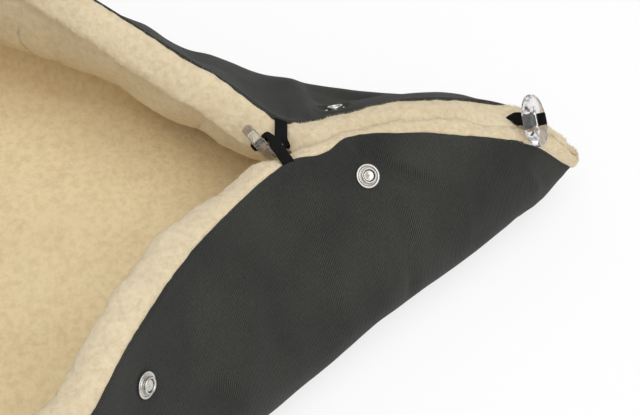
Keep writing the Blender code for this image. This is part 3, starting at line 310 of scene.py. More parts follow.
def side_sections(side, hood_step, body_step):
    """Sections from beside the tip down one side and round to beside the foot's middle."""
    tip = tip_sections(np.linspace(0, 1, 9)[1:], side)
    s = np.arange(HOOD_START, HOOD_LENGTH, hood_step)
    hood = hood_sections(s, side)
    share = blend(HOOD_EASES, HOOD_LENGTH, s)[:, None]
    body = body_sections(s, side)[:, ROUND:SIDE]
    hood[:, ROUND:SIDE] = hood[:, ROUND:SIDE] * (1 - share) + body * share
    s = np.arange(HOOD_LENGTH, LENGTH - FOOT_RADIUS, body_step)
    foot = foot_sections(np.linspace(0, 1, 17), side)
    return np.vstack([tip, hood, body_sections(s, side), foot, foot_straight(foot, 11)])


def plan(sections, inset):
    """Places on the floor plan, some distance in from the outline."""
    inset = np.broadcast_to(inset, len(sections))[:, None]
    return sections[:, X:IN_X] + sections[:, IN_X:ROUND] * inset


def drawn_back(y, low=1.0):
    """The nose's sole drawn back under its tip, by how low each point lies."""
    near = np.maximum(0, 1 - (TIP_Y - y) / NOSE_REACH)
    return y - NOSE_PULL * low**2 * near**2


class Walls:
    """The bag's outer face as a grid: rows from the floor edge (-1) over the corner (0) to the
    rim (1), columns closed round the bag from the tip down the left and up the right."""

    def __init__(self, hood_step, body_step, corner_rows, wall_rows):
        left = side_sections(LEFT, hood_step, body_step)
        right = side_sections(RIGHT, hood_step, body_step)
        tip = tip_sections(np.array([0.0]), LEFT)
        foot = left[-1:].copy()
        foot[:, X] = 0.0
        self.sections = np.vstack([tip, left, foot, right[::-1]])
        self.half = len(left)
        self.s, self.side = self.sections[:, PLACE], self.sections[:, SIDE]
        corner = np.linspace(-1, 0, corner_rows, endpoint=False)
        self.t = np.concatenate([corner, np.linspace(0, 1, wall_rows)])
        self.point = np.stack([self.row(t) for t in self.t])
        self.face()
        self.point = seated(self.point - self.moves())
        self.point[..., 2] = np.maximum(self.point[..., 2], 0.0)
        self.face()

    def face(self):
        """Directions up the wall and into the bag at every point."""
        self.rise = unit(np.gradient(self.point, axis=0))
        run = np.roll(self.point, -1, 1) - np.roll(self.point, 1, 1)
        self.inside = unit(np.cross(run, self.rise))

    def moves(self):
        """What is taken from each point: inwards the relief, upwards the dip of the left rim at
        the throat, and with its sign turned the lift of the nose."""
        s, t = self.s, self.t
        dip = np.where(self.side > 0, THROAT_DIP, 0.0) * blend(DIP_START, DIP_FULL, s)
        dip = dip * blend(DIP_END, DIP_EASES, s) * blend(0.4, 1.0, t)[:, None]
        tip = blend(0.016, 0.0, s) * blend(-0.5, 0.8, t)[:, None]
        move = self.inside * self.relief()[..., None] + self.rise * dip[..., None]
        return move - tip[..., None] * np.array(NOSE_LIFT)

    def relief(self):
        """How far the cloth stands out (plus) or in (minus) of its plain form."""
        points, s, t = self.point, self.s, self.t[:, None]
        move = lumps(points, "shell") + fold_depth(points, FOLDS)
        stands = np.where(self.side < 0, along(FAR_ROWS, 1, s), 0.0)
        move = move + stands * blend(0.15, 0.55, t) * blend(0.92, 0.70, t)
        move = move * np.clip((t + 1) / 0.5, 0, 1) * np.clip((1 - t) / 0.04, 0, 1)
        beside_zip = blend(0.385, 0.40, s) * blend(0.80, 0.90, t)
        return move * (1 - beside_zip) + 0.0002 * beside_zip

    def row(self, t):
        """Points of one row: round the corner below 0, and up the wall's curve above it."""
        c = self.sections
        if t < 0:
            turn = math.pi / 2 * (1 + t)
            inset = c[:, ROUND] * (1 - math.sin(turn))
            height = c[:, ROUND] * (1 - math.cos(turn))
        else:
            full = np.where(c[:, SIDE] < 0, RIGHT_CURVE, LEFT_CURVE)
            rise = c[:, TALL] - c[:, ROUND]
            reach = np.hypot(c[:, INSET], rise) * full
            knots = (
                (0, c[:, ROUND]), (0, c[:, ROUND] + rise * full),
                (c[:, INSET] - np.sin(c[:, LEAN]) * reach, c[:, TALL] - np.cos(c[:, LEAN]) * reach),
                (c[:, INSET], c[:, TALL]),
            )
            weights = ((1 - t) ** 3, 3 * t * (1 - t) ** 2, 3 * t * t * (1 - t), t**3)
            inset = sum(w * k[0] for w, k in zip(weights, knots))
            height = sum(w * k[1] for w, k in zip(weights, knots))
        x, y = plan(c, inset).T
        low = np.maximum(0, 1 - height / NOSE_RISE)
        return np.column_stack([x, drawn_back(y, low), height])


def seated(points):
    """The wall pressed flat under each snap, and puckered round those of the right side."""
    for middle, across, outward in SNAPS.values():
        apart = points - np.array(middle)
        high = apart @ np.array(outward)
        beside = np.linalg.norm(apart - high[..., None] * np.array(outward), axis=-1)
        close = 1 - blend(0.004, 0.010, np.abs(high))
        weight = (1 - blend(SEAT_RADIUS, SEAT_EDGE, beside)) * close
        pucker = PUCKER * np.exp(-(((beside - PUCKER_RADIUS) / PUCKER_WIDTH) ** 2)) * close
        moved = pucker * (outward[0] < 0) - (high + 0.0001) * weight
        points = points + np.array(outward) * moved[..., None]
    return points


def rough(points, size, amount, seed):
    """Smooth noise at each point, one value of about plus or minus amount."""
    shift = Vector((seed * 7.1, seed * 3.7, seed * 5.3))
    flat = points.reshape(-1, 3)
    values = np.array([noise.noise(Vector(p) / size + shift) for p in flat])
    return amount * values.reshape(points.shape[:-1])


def lumps(points, layer):
    """How far a layer's lumps lift each point."""
    return sum(rough(points, *lump) for lump in LUMPS[layer])


def fold_depth(points, folds):
    """How far each point lies out (plus) or in (minus) where the cloth creases."""
    total = np.zeros(points.shape[:-1])
    for start, end, width, depth in folds:
        a, run = np.array(start), np.array(end) - np.array(start)
        share = np.clip(((points - a) @ run) / (run @ run), 0, 1)
        gap = np.linalg.norm(points - (a + share[..., None] * run), axis=-1)
        total += depth * np.exp(-((gap / width) ** 2)) * (0.35 + 0.65 * np.sin(math.pi * share))
    return total


# Meshes

def rings_mesh(rings, closed_across=False):
    """Faces between successive rings of equal count, and from the last to the first if asked."""
    count = len(rings[0])
    vertices = np.concatenate(rings)
    faces = []
    for r in range(len(rings) if closed_across else len(rings) - 1):
        low, high = r * count, ((r + 1) % len(rings)) * count
        for i in range(count):
            j = (i + 1) % count
            faces.append((low + i, low + j, high + j, high + i))
    return vertices, faces


def make(name, vertices, faces, finish, uv=None, smooth=True, deep=None, joined=True):
    """A piece from points and faces, with places on the cloth and a depth value if given, which the
    wool's painted light reads. Points that meet are joined, apart from those of loose hairs."""
    mesh = bpy.data.meshes.new(name)
    mesh.from_pydata(np.asarray(vertices).tolist(), [], faces)
    if deep is not None:
        layer = mesh.attributes.new("deep", "FLOAT", "POINT")
        layer.data.foreach_set("value", np.asarray(deep, np.float32))
    if uv is not None:
        layer = mesh.uv_layers.new(name="cloth")
        index = np.empty(len(mesh.loops), np.int32)
        mesh.loops.foreach_get("vertex_index", index)
        layer.data.foreach_set("uv", np.asarray(uv, np.float32)[index].ravel())
    if joined:
        form = bmesh.new()
        form.from_mesh(mesh)
        bmesh.ops.remove_doubles(form, verts=form.verts, dist=0.00002)
        bmesh.ops.recalc_face_normals(form, faces=form.faces)
        form.to_mesh(mesh)
        form.free()
    if smooth:
        mesh.shade_smooth()
    mesh.materials.append(finish)
    return linked(bpy.data.objects.new(name, mesh))


def linked(thing):
    """The same object, now in the scene."""
    bpy.context.scene.collection.objects.link(thing)
    return thing


def stands_for(piece, slot, body, *nodes):
    """Hides the CAD nodes that a piece replaces and attaches it to the body that it moves with; the
    slot is not used.
    """
    if nodes:
        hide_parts(*nodes)
    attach(piece, body)


def circle(steps):
    """Angles all round, without the last."""
    return np.linspace(0, 2 * math.pi, steps, endpoint=False)


def run_length(path):
    """Length of a line from its start to each of its points."""
    return np.concatenate([[0], np.cumsum(np.linalg.norm(np.diff(path, axis=0), axis=1))])


def square_to(path, wide):
    """The line's own direction, and a given direction turned square to it."""
    run = unit(np.gradient(path, axis=0))
    return run, unit(wide - run * (wide * run).sum(-1, keepdims=True))


def swept(path, wide, across, thick, sides):
    """Rings of a flat or round cord along a path, its width turned to face as given and scaled
    by the given direction's length."""
    share = np.linalg.norm(wide, axis=1)
    run, wide = square_to(path, wide)
    third = np.cross(run, wide)
    turns = circle(sides)
    outs, ups = np.cos(turns), np.sin(turns)
    if across != thick:
        outs, ups = np.sign(outs) * np.abs(outs) ** 0.45, np.sign(ups) * np.abs(ups) ** 0.8
    return [p + np.outer(outs, a) * across / 2 * k + np.outer(ups, b) * thick / 2
            for p, a, b, k in zip(path, wide, third, share)]


def capped(rings):
    """Faces of a cord through its rings, closed at both ends."""
    vertices, faces = rings_mesh(rings)
    count = len(rings[0])
    faces.append(tuple(range(count)))
    faces.append(tuple(range(len(vertices) - count, len(vertices))))
    return vertices, faces


def cord_uv(path, around):
    """Places on a cord in metres: along it, and round each of its rings."""
    length = run_length(path)
    return np.stack([np.repeat(length, len(around)), np.tile(around, len(length))], -1)


def together(parts):
    """Several sets of vertices and faces as one."""
    vertices, faces, total = [], [], 0
    for points, polygons in parts:
        vertices.append(np.asarray(points))
        faces += [tuple(i + total for i in face) for face in polygons]
        total += len(points)
    return np.vstack(vertices), faces


def stadium(length, width, steps):
    """A loop of two half circles and two straights."""
    half = (length - width) / 2
    turns = np.linspace(-math.pi / 2, math.pi / 2, steps)
    right = np.column_stack([half + np.cos(turns) * width / 2, np.sin(turns) * width / 2])
    return np.vstack([right, -right])


def slot_loops(widened):
    length, width = SLOT_LENGTH + widened * 2, SLOT_WIDTH + widened * 2
    return [stadium(length, width, 17) + place for place in SLOTS]


def inside_of(points, outline):
    """Which points lie within a closed outline."""
    within = np.zeros(len(points), bool)
    for (x0, y0), (x1, y1) in zip(outline, np.roll(outline, -1, 0)):
        if y0 != y1:
            spans = (points[:, 1] < y0) != (points[:, 1] < y1)
            within ^= spans & (points[:, 0] < x0 + (points[:, 1] - y0) * (x1 - x0) / (y1 - y0))
    return within


def level_sheet(outline, holes, spacing, height, bumps=None):
    """A sheet across an outline and round its holes. Its edge keeps the outline's own heights."""
    flat = outline[:, :2]
    low, high = flat.min(0), flat.max(0)
    steps = [np.arange(a + spacing / 2, b, spacing) for a, b in zip(low, high)]
    x, y = np.meshgrid(*steps)
    x = x + spacing / 2 * (np.arange(x.shape[0]) % 2)[:, None]
    grid = np.column_stack([x.ravel(), y.ravel()])
    grid = grid[inside_of(grid, flat)]
    clear = (spacing * 0.55) ** 2
    for edge in [flat] + holes:
        grid = np.array([p for p in grid if np.min(((edge - p) ** 2).sum(1)) > clear])
    for hole in holes:
        grid = grid[~inside_of(grid, hole)]
    loops, edges, total = [flat] + holes, [], 0
    for loop in loops:
        count = len(loop)
        edges += [(total + i, total + (i + 1) % count) for i in range(count)]
        total += count
    points = [Vector(p) for p in np.vstack(loops + [grid])]
    found = geometry.delaunay_2d_cdt(points, edges, [], 1, 1e-7, True)
    made = np.array([tuple(p) for p in found[0]])
    faces = np.array([face for face in found[2] if len(face) == 3])
    middle = made[faces].mean(1)
    keep = inside_of(middle, flat)
    for hole in holes:
        keep &= ~inside_of(middle, hole)
    z = height(made)
    for i, came in enumerate(found[3]):
        if came and came[0] < len(flat):
            z[i] = outline[came[0], 2]
        elif bumps is not None and (not came or came[0] >= total):
            z[i] += bumps(made[i])
    return np.column_stack([made, z]), [tuple(face) for face in faces[keep].tolist()]


# Materials

def shader(name, colour, roughness, metallic=0.0, **sockets):
    """A material with its node tree and main node, and constants for the sockets named."""
    made = bpy.data.materials.new(name)
    made.use_nodes = True
    tree = made.node_tree
    node = tree.nodes["Principled BSDF"]
    node.inputs["Base Color"].default_value = (*colour, 1)
    node.inputs["Roughness"].default_value = roughness
    node.inputs["Metallic"].default_value = metallic
    for socket, value in sockets.items():
        node.inputs[socket.replace("_", " ")].default_value = value
    return made, tree, node


def new_node(tree, kind, **values):
    node = tree.nodes.new(kind)
    for name, value in values.items():
        if hasattr(node, name):
            setattr(node, name, value)
        else:
            node.inputs[name.replace("_", " ")].default_value = value
    return node


def ramp(tree, source, stops):
    """Colours by a value, where a stop may give one number for a grey."""
    node = tree.nodes.new("ShaderNodeValToRGB")
    points = node.color_ramp.elements
    while len(points) < len(stops):
        points.new(0.5)
    for point, (place, colour) in zip(points, stops):
        point.position = place
        point.color = (*((colour,) * 3 if isinstance(colour, float) else colour), 1)
    tree.links.new(source, node.inputs[0])
    return node.outputs[0]


def shaded(tree, node, source, stops):
    """Gives a material its colours by a value."""
    tree.links.new(ramp(tree, source, stops), node.inputs["Base Color"])


def multiplied(tree, *colours):
    """The product of several colour sockets."""
    product = colours[0]
    for colour in colours[1:]:
        node = new_node(tree, "ShaderNodeMix", data_type="RGBA", blend_type="MULTIPLY")
        node.inputs[0].default_value = 1.0
        tree.links.new(product, node.inputs[6])
        tree.links.new(colour, node.inputs[7])
        product = node.outputs[2]
    return product


def bumped(tree, target, *layers):
    """Bump from several height sockets, each with its depth in metres and its strength."""
    normal = None
    for height, distance, strength in layers:
        node = new_node(tree, "ShaderNodeBump", Distance=distance, Strength=strength)
        tree.links.new(height, node.inputs["Height"])
        if normal is not None:
            tree.links.new(normal, node.inputs["Normal"])
        normal = node.outputs["Normal"]
    tree.links.new(normal, target.inputs["Normal"])


def noise_of(tree, scale, detail=2.0, rough_share=0.5):
    """Noise in the object's own space, scale being lumps in a metre."""
    coords = tree.nodes.new("ShaderNodeTexCoord").outputs["Object"]
    node = new_node(tree, "ShaderNodeTexNoise", Scale=scale, Detail=detail, Roughness=rough_share)
    tree.links.new(coords, node.inputs["Vector"])
    return node.outputs["Fac"]


def ribs_of(tree, spacing, turned=0, **values):
    """Ribs on the cloth, a given distance apart and turned by some degrees."""
    coords = tree.nodes.new("ShaderNodeUVMap").outputs["UV"]
    if turned:
        mapping = new_node(tree, "ShaderNodeMapping", vector_type="POINT")
        mapping.inputs["Rotation"].default_value = (0, 0, math.radians(turned))
        tree.links.new(coords, mapping.inputs["Vector"])
        coords = mapping.outputs[0]
    node = new_node(tree, "ShaderNodeTexWave", Scale=2 / spacing / 6.2832, **values)
    tree.links.new(coords, node.inputs["Vector"])
    return node.outputs["Fac"]


def twill(name, tint=1.0):
    """Anthracite twill: fine slanting ribs over a soft, slightly uneven cloth, its swells painted
    lighter and its hollows darker as painted highlight and shade.
    """
    colour = tuple(c * tint for c in (0.034, 0.0355, 0.031))
    made, tree, node = shader(name, colour, 0.72, Sheen_Weight=0.04, Sheen_Roughness=0.45,
                              Sheen_Tint=(0.9, 0.92, 0.88, 1), Specular_IOR_Level=0.22)
    ribs = ribs_of(tree, 0.0009, 5, Distortion=0.6, Detail=1.0, Detail_Scale=2.0)
    cross = ribs_of(tree, 0.0007, 5, bands_direction="Y", Distortion=0.4)
    relief_and_shade, lint = noise_of(tree, 22.0, 3.0), noise_of(tree, 900.0)
    dark, light = (tuple(c * k for c in colour) for k in (0.5, 1.6))
    base = multiplied(
        tree, ramp(tree, ribs, ((0.15, dark), (0.85, light))),
        # painted shade and highlight: the cloth's soft undulations are darker in their hollows and
        # lighter on their swells, from the noise that bumps them
        ramp(tree, relief_and_shade, ((0.3, 0.74), (0.7, (1.18, 1.18, 1.15)))),
        ramp(tree, lint, ((0.35, 0.86), (0.7, 1.16))),
    )
    tree.links.new(base, node.inputs["Base Color"])
    bumped(tree, node, (relief_and_shade, 0.0006, 0.5), (ribs, 0.00016, 0.8), (cross, 0.00008, 0.5))
    return made


def wool(name):
    """Dense sheared pile: cream, with small tufts and faint dimples; painted light makes it lighter
    and warmer the deeper it lies in the bag, and painted shade darkens the hollows between its tufts.
    """
    made, tree, node = shader(
        name, (0.86, 0.74, 0.52), 0.95, Sheen_Weight=0.35, Sheen_Roughness=0.6,
        Sheen_Tint=(1.0, 0.93, 0.80, 1), Specular_IOR_Level=0.15, Subsurface_Weight=0.25,
        Subsurface_Radius=(1.0, 0.75, 0.45), Subsurface_Scale=0.003,
    )
    patches, tufts = noise_of(tree, 14.0), noise_of(tree, 260.0, 3.0, 0.6)
    hairs = noise_of(tree, 1400.0, 2.0, 0.7)
    coords = tree.nodes.new("ShaderNodeTexCoord").outputs["Object"]
    dimples = new_node(tree, "ShaderNodeTexVoronoi", Scale=420.0, Randomness=1.0)
    tree.links.new(coords, dimples.inputs["Vector"])
    # painted light: the pile is painted lighter and warmer the deeper it lies in the bag, set against
    # the shade that falls inside it
    depth = new_node(tree, "ShaderNodeAttribute", attribute_name="deep").outputs["Fac"]
    base = multiplied(
        tree, ramp(tree, depth, ((0.0, (0.77, 0.66, 0.475)), (0.35, (0.81, 0.68, 0.46)),
                                 (1.0, (0.88, 0.74, 0.48)))),
        ramp(tree, patches, ((0.3, (0.95, 0.93, 0.90)), (0.7, (1.04, 1.04, 1.03)))),
        # painted shade: the hollows between the tufts are darker and warmer, from the noise that
        # bumps them
        ramp(tree, tufts, ((0.3, (0.90, 0.87, 0.80)), (0.6, (1.03, 1.03, 1.02)))),
    )
    tree.links.new(base, node.inputs["Base Color"])
    bumped(tree, node, (tufts, 0.0012, 0.5), (dimples.outputs["Distance"], 0.0006, 0.35),
           (hairs, 0.0003, 0.5))
    return made


def elastic_cloth():
    """Black woven elastic with fine ribs both ways."""
    made, tree, node = shader("black_elastic", (0.006,) * 3, 0.9, Specular_IOR_Level=0.08)
    across, down = ribs_of(tree, 0.0008), ribs_of(tree, 0.0011, bands_direction="Y")
    shaded(tree, node, across, ((0.1, 0.004), (0.9, 0.014)))
    bumped(tree, node, (across, 0.0002, 0.8), (down, 0.0001, 0.5))
    return made


def metal(name, colour, roughness):
    """Bright plate with a fine grain and small scuffs."""
    made, tree, node = shader(name, colour, roughness, 1.0)
    fine, broad = noise_of(tree, 3000.0), noise_of(tree, 250.0, 3.0)
    matt = ramp(tree, broad, ((0.3, roughness * 0.7), (0.7, roughness * 1.7)))
    tree.links.new(matt, node.inputs["Roughness"])
    dull = tuple(c * 0.8 for c in colour)
    shaded(tree, node, broad, ((0.35, dull), (0.6, colour)))
    bumped(tree, node, (fine, 0.00001, 0.1))
    return made


def clear_plastic():
    """Clear moulded plastic, slightly marked and not quite even."""
    made, tree, node = shader("clear_plastic", (0.90, 0.875, 0.88), 0.04,
                              Transmission_Weight=0.96, IOR=1.46)
    marks = ramp(tree, noise_of(tree, 700.0, 3.0), ((0.4, 0.05), (0.8, 0.16)))
    tree.links.new(marks, node.inputs["Roughness"])
    bumped(tree, node, (noise_of(tree, 180.0, 1.0), 0.0003, 0.12))
    return made


def coil_plastic():
    """Black zip coil, worn lighter in places."""
    made, tree, node = shader("zip_coil", (0.016,) * 3, 0.35)
    worn = noise_of(tree, 400.0)
    shaded(tree, node, worn, ((0.3, 0.010), (0.7, 0.030)))
    bumped(tree, node, (worn, 0.0001, 0.4))
    return made


def tape_cloth():
    """Black woven tape beside the zip's teeth, with slanting ribs."""
    made, tree, node = shader("zip_tape", (0.014,) * 3, 0.7)
    ribs = ribs_of(tree, 0.0008, 45, Distortion=0.3)
    shaded(tree, node, ribs, ((0.2, 0.008), (0.8, 0.024)))
    bumped(tree, node, (ribs, 0.0001, 0.7))
    return made


def moulded(name, colour, roughness):
    """Matt binding or thread: a fine grain and slightly worn patches."""
    made, tree, node = shader(name, colour, roughness)
    grain, worn = noise_of(tree, 2500.0), noise_of(tree, 120.0, 3.0)
    low, high = (tuple(c * k for c in colour) for k in (0.8, 1.3))
    shaded(tree, node, worn, ((0.35, low), (0.7, high)))
    bumped(tree, node, (grain, 0.00005, 0.5))
    return made


TWILL = twill("twill")
PANEL_TWILL = twill("panel_twill", 1.1)
WOOL = wool("wool_pile")
ELASTIC = elastic_cloth()
NICKEL = metal("nickel", (0.68, 0.66, 0.62), 0.2)
CLEAR = clear_plastic()
COIL = coil_plastic()
TAPE = tape_cloth()
BINDING = moulded("slot_binding", (0.030, 0.030, 0.028), 0.6)
THREAD = moulded("thread", (0.060, 0.060, 0.055), 0.65)


# Shell of twill: walls with a rolled rim, and the panel under them

def cloth_uv(rings):
    """Places on the cloth in metres: round the bag, and up its wall."""
    grid = np.stack(rings)
    step = np.linalg.norm(np.diff(grid, axis=0), axis=-1)
    up = np.vstack([np.zeros(grid.shape[1]), np.cumsum(step, axis=0)])
    run = np.linalg.norm(np.roll(grid, -1, 1) - grid, axis=-1).mean(0)
    around = np.concatenate([[0], np.cumsum(run)[:-1]])
    return np.stack([np.broadcast_to(around, up.shape), up], -1).reshape(-1, 2)


def side_shell():
    walls = Walls(0.0016, 0.005, 6, 56)
    rings = list(walls.point)
    rim, within, up = walls.point[-1], walls.inside[-1], walls.rise[-1]
    for turn in np.linspace(0, math.pi, 7)[1:-1]:
        over, high = SHELL / 2 * (1 - math.cos(turn)), SHELL / 2 * math.sin(turn)
        rings.append(rim + within * over + up * high)
    for k in np.linspace(len(walls.point) - 1, 0, 14).astype(int):
        rings.append(walls.point[k] + walls.inside[k] * SHELL)
    vertices, faces = rings_mesh(rings, closed_across=True)
    piece = make("shell_walls", vertices, faces, TWILL, cloth_uv(rings))
    stands_for(piece, "twill", "bag", "side_shell")
    return walls


def upright(loop, *heights):
    """A wall between two heights along a loop on the floor plan."""
    return rings_mesh([np.column_stack([loop, np.zeros(len(loop)) + z]) for z in heights])


def back_panel(walls):
    """The panel that the bag lies on, with the harness slots through it."""
    x, y = plan(walls.sections, walls.sections[:, ROUND] + GAP).T
    outline = np.column_stack([x, drawn_back(y), 0 * x])
    holes = slot_loops(SLOT_EDGE)
    low = level_sheet(outline, holes, 0.009, lambda p: np.zeros(len(p)))
    high = (low[0] + (0, 0, SHELL), [face[::-1] for face in low[1]])
    sides = [upright(loop, 0.0, SHELL) for loop in [outline[:, :2]] + holes]
    vertices, faces = together([low, high] + sides)
    piece = make("back_panel_cloth", vertices, faces, PANEL_TWILL, vertices[:, :2], smooth=False)
    stands_for(piece, "twill", "bag", "back_panel")


# Wool lining of the back

def pile_depth(walls):
    """Depth of the lining's inner face under the shell's outer face, by row and column."""
    s, side = walls.s, walls.side
    thin = np.minimum(BASE_DEPTH + PILE_FLOOR, 0.8 * walls.sections[:, ROUND])
    floor = np.maximum(BASE_DEPTH + GAP, thin)
    up = np.interp(walls.t, (-1, 0, 0.25, 0.5, 0.72, 0.9, 1), (0, 0, 0.2, 0.4, 0.6, 0.8, 1))
    up = up[:, None]
    bulge = np.where(side < 0, FAR_BULGE, NEAR_BULGE) * blend(HOOD_LENGTH, HOOD_LENGTH * 0.8, s)
    top = TUNNEL_DEPTH + PILE_WALL + 0.002 * blend(0.40, 0.32, s)
    return floor + (top - floor) * up + bulge * np.sin(math.pi * up)


def crease(walls):
    """Where the two sides of the closed hood meet: across, and up between the two rims."""
    s, rim = walls.s, walls.point[-1]
    across = along(CREASE_ROWS, 1, s)
    rims = []
    for side in (LEFT, RIGHT):
        k = np.where(walls.side == side)[0]
        k = k[np.argsort(s[k])]
        rims.append([np.interp(s, s[k], rim[k, i]) for i in (0, 2)])
    (x, z), (far_x, far_z) = rims
    share = np.clip((across - far_x) / (x - far_x), 0, 1)
    return across, far_z + share * (z - far_z)


def below_tip(y, least):
    """Keeps the lining's two sides back from the tip's own line, on a soft curve."""
    return TIP_Y - np.hypot(TIP_Y - y, least)


def closed_in(points, s, side, least, middle):
    """Keeps the two sides of the lining apart in the closed part of the hood."""
    made = points.copy()
    hood = s <= HOOD_LENGTH
    half = side * (made[..., 0] - middle)
    pressed = side * (half + least + np.hypot(half - least, 0.001)) / 2 + middle
    made[..., 0] = np.where(hood, pressed, made[..., 0])
    made[..., 1] = np.where(hood, below_tip(made[..., 1], 0.006), made[..., 1])
    return made


def pressed_under(points, normal, knots):
    """The pile pushed down where a strap lies on it."""
    path, wide = strap_path(knots)
    run, wide = square_to(path, wide)
    third = np.cross(run, wide)
    flat, faces = points.reshape(-1, 3), normal.reshape(-1, 3)
    low, high = path.min(0) - 0.012, path.max(0) + 0.012
    close = np.where(((flat > low) & (flat < high)).all(1))[0]
    apart = flat[close][:, None] - path[None]
    nearest = np.argmin((apart**2).sum(-1), 1)
    apart = apart[np.arange(len(close)), nearest]
    out, aside = third[nearest], wide[nearest]
    out = out * np.sign((out * faces[close]).sum(1, keepdims=True))
    high = (apart * out).sum(1)
    weight = 1 - blend(0.0036, 0.0064, np.abs((apart * aside).sum(1)))
    weight = weight * (nearest > 0) * (nearest < len(path) - 1)
    weight = weight * (high > -STRAP_BED) * (high < 0.011)
    made = flat.copy()
    made[close] -= out * ((high + STRAP_BED) * weight)[:, None]
    return made.reshape(points.shape)


def lining_rows(walls):
    """Rows of the lining's visible face, from the floor's edge up the wall and over the rim, with
    the point where it goes down behind the shell."""
    s, side = walls.s, np.where(walls.side == 0, 1, walls.side)
    far = side < 0
    depth = pile_depth(walls)
    back = (PILE_CROWN + GAP) * blend(HOOD_LENGTH * 0.8, HOOD_LENGTH, s)
    fade = blend(0.8, 1.0, walls.t)[:, None, None]
    inner = walls.point + walls.inside * depth[..., None]
    inner = inner - walls.rise * back[None, :, None] * fade
    slit = 0.00005 + 0.0003 * blend(0.05, 0.08, s) + 0.0005 * blend(0.08, 0.14, s)
    across, height = crease(walls)
    inner = closed_in(inner, s, side, slit, across)
    eased = blend(0.17, 0.20, s)[None, :, None]
    for _ in range(8):
        soft = (inner[:-2] + 2 * inner[1:-1] + inner[2:]) / 4
        inner[1:-1] = inner[1:-1] * (1 - eased) + soft * eased
    rim, within, up = walls.point[-1], walls.inside[-1], walls.rise[-1]
    meeting = np.column_stack([
        across + side * slit, below_tip(rim[:, 1], 0.005), height - along(ROLL_ROWS, 3, s),
    ])
    closed = blend(0.175, 0.145, s)[:, None]
    end = inner[-1] * (1 - closed) + meeting * closed
    inner = inner + (end - inner[-1])[None] * blend(0.6, 1, walls.t)[:, None, None]
    over = np.maximum(blend(0.055, 0.035, s), 0.35 * blend(0.40, 0.34, s))
    start = rim + within * (SHELL - 0.0002 - 0.0028 * over)[:, None] - up * back[:, None]
    visible = np.concatenate([inner, rolled(walls, start, end, far)])
    run = np.roll(visible, -1, 1) - np.roll(visible, 1, 1)
    normal = unit(np.cross(run, unit(np.gradient(visible, axis=0))))
    visible = visible + normal * lumps(visible, "lining")[..., None]
    for knots in (CROWN_STRAP[2:-2], THROAT_STRAP):
        visible = pressed_under(visible, normal, knots)
    return visible, normal, start


def rolled(walls, start, end, far):
    """The wool's roll over the rim, from its inner end to where it goes down behind the shell: an
    arch on the open hood, and a dome on the closed nose."""
    s, within, up = walls.s, walls.inside[-1], walls.rise[-1]
    tall = np.where(far, along(ROLL_ROWS, 2, s), along(ROLL_ROWS, 1, s))
    tall = tall * (1 - 0.75 * np.exp(-(((s - 0.167) / 0.007) ** 2)))
    merged = blend(0.075, 0.045, s)[:, None]
    flat = (far * blend(0.17, 0.14, s))[:, None]
    chord = end - start
    chord_way = unit(chord)
    lift = up * (1 - flat) + UP * flat
    lift = unit(lift - (lift * chord_way).sum(-1, keepdims=True) * chord_way)
    crown = []
    for share in np.linspace(0, 1, 20)[1:-1]:
        turn = math.pi * share
        arch = start + chord * (share * flat + (1 - math.cos(turn)) / 2 * (1 - flat))
        height = math.sin(turn) ** 0.8 * (1 - flat) + math.sin(turn) * flat
        arch = arch + lift * tall[:, None] * height
        out = within * (0.0004 + 0.001 * far[:, None]) * math.sin(turn)
        domed = start + chord * (1 - math.cos(turn / 2)) - out
        domed[:, 2] = start[:, 2] + chord[:, 2] * math.sin(turn / 2)
        domed = domed + up * (0.0018 * blend(0.030, 0.006, s) * math.sin(turn) ** 0.5)[:, None]
        crown.append(arch * (1 - merged) + domed * merged)
    return np.stack(crown[::-1])


def wool_lining():
    walls = Walls(0.0018, 0.006, 5, 40)
    visible, normal, start = lining_rows(walls)
    rings = list(visible) + [start]
    rings.append(walls.point[-7] + walls.inside[-7] * TUNNEL_DEPTH)
    for k in (*range(36, 8, -3), 7, 5, 0):
        rings.append(walls.point[k] + walls.inside[k] * BASE_DEPTH)
    holes = slot_loops(SLOT_EDGE)
    middle_y, middle_z = visible[0][: walls.half, 1:].T[:, ::-1]

    def floor_height(points):
        return np.interp(points[:, 1], middle_y, middle_z)

    def floor_bumps(point):
        spot = Vector((*point, 0.0))
        return 0.0012 * noise.noise(spot / 0.020) + 0.0006 * noise.noise(spot / 0.005)

    floor = level_sheet(visible[0], holes, 0.0042, floor_height, floor_bumps)
    under = level_sheet(rings[-1], holes, 0.02, lambda p: np.full(len(p), BASE_DEPTH))
    slots = [upright(loop, floor_height(loop), BASE_DEPTH) for loop in holes]
    ringed = rings_mesh(rings)
    vertices, faces = together([ringed, floor, under] + slots)
    # depth for the pile's painted light: 1 on the floor, falling up the wall to 0 at the rim and over
    # it
    height = np.clip(1 - (walls.t + 1) / 2, 0, 1)[:, None] * np.ones_like(walls.s)
    deep = np.ones(len(vertices))
    deep[: height.size] = height.ravel()
    deep[height.size : len(ringed[0])] = 0
    piece = make("wool_lining", vertices, faces, WOOL, deep=deep)
    stands_for(piece, "wool_pile", "bag", "back_lining")
    return walls, visible, normal


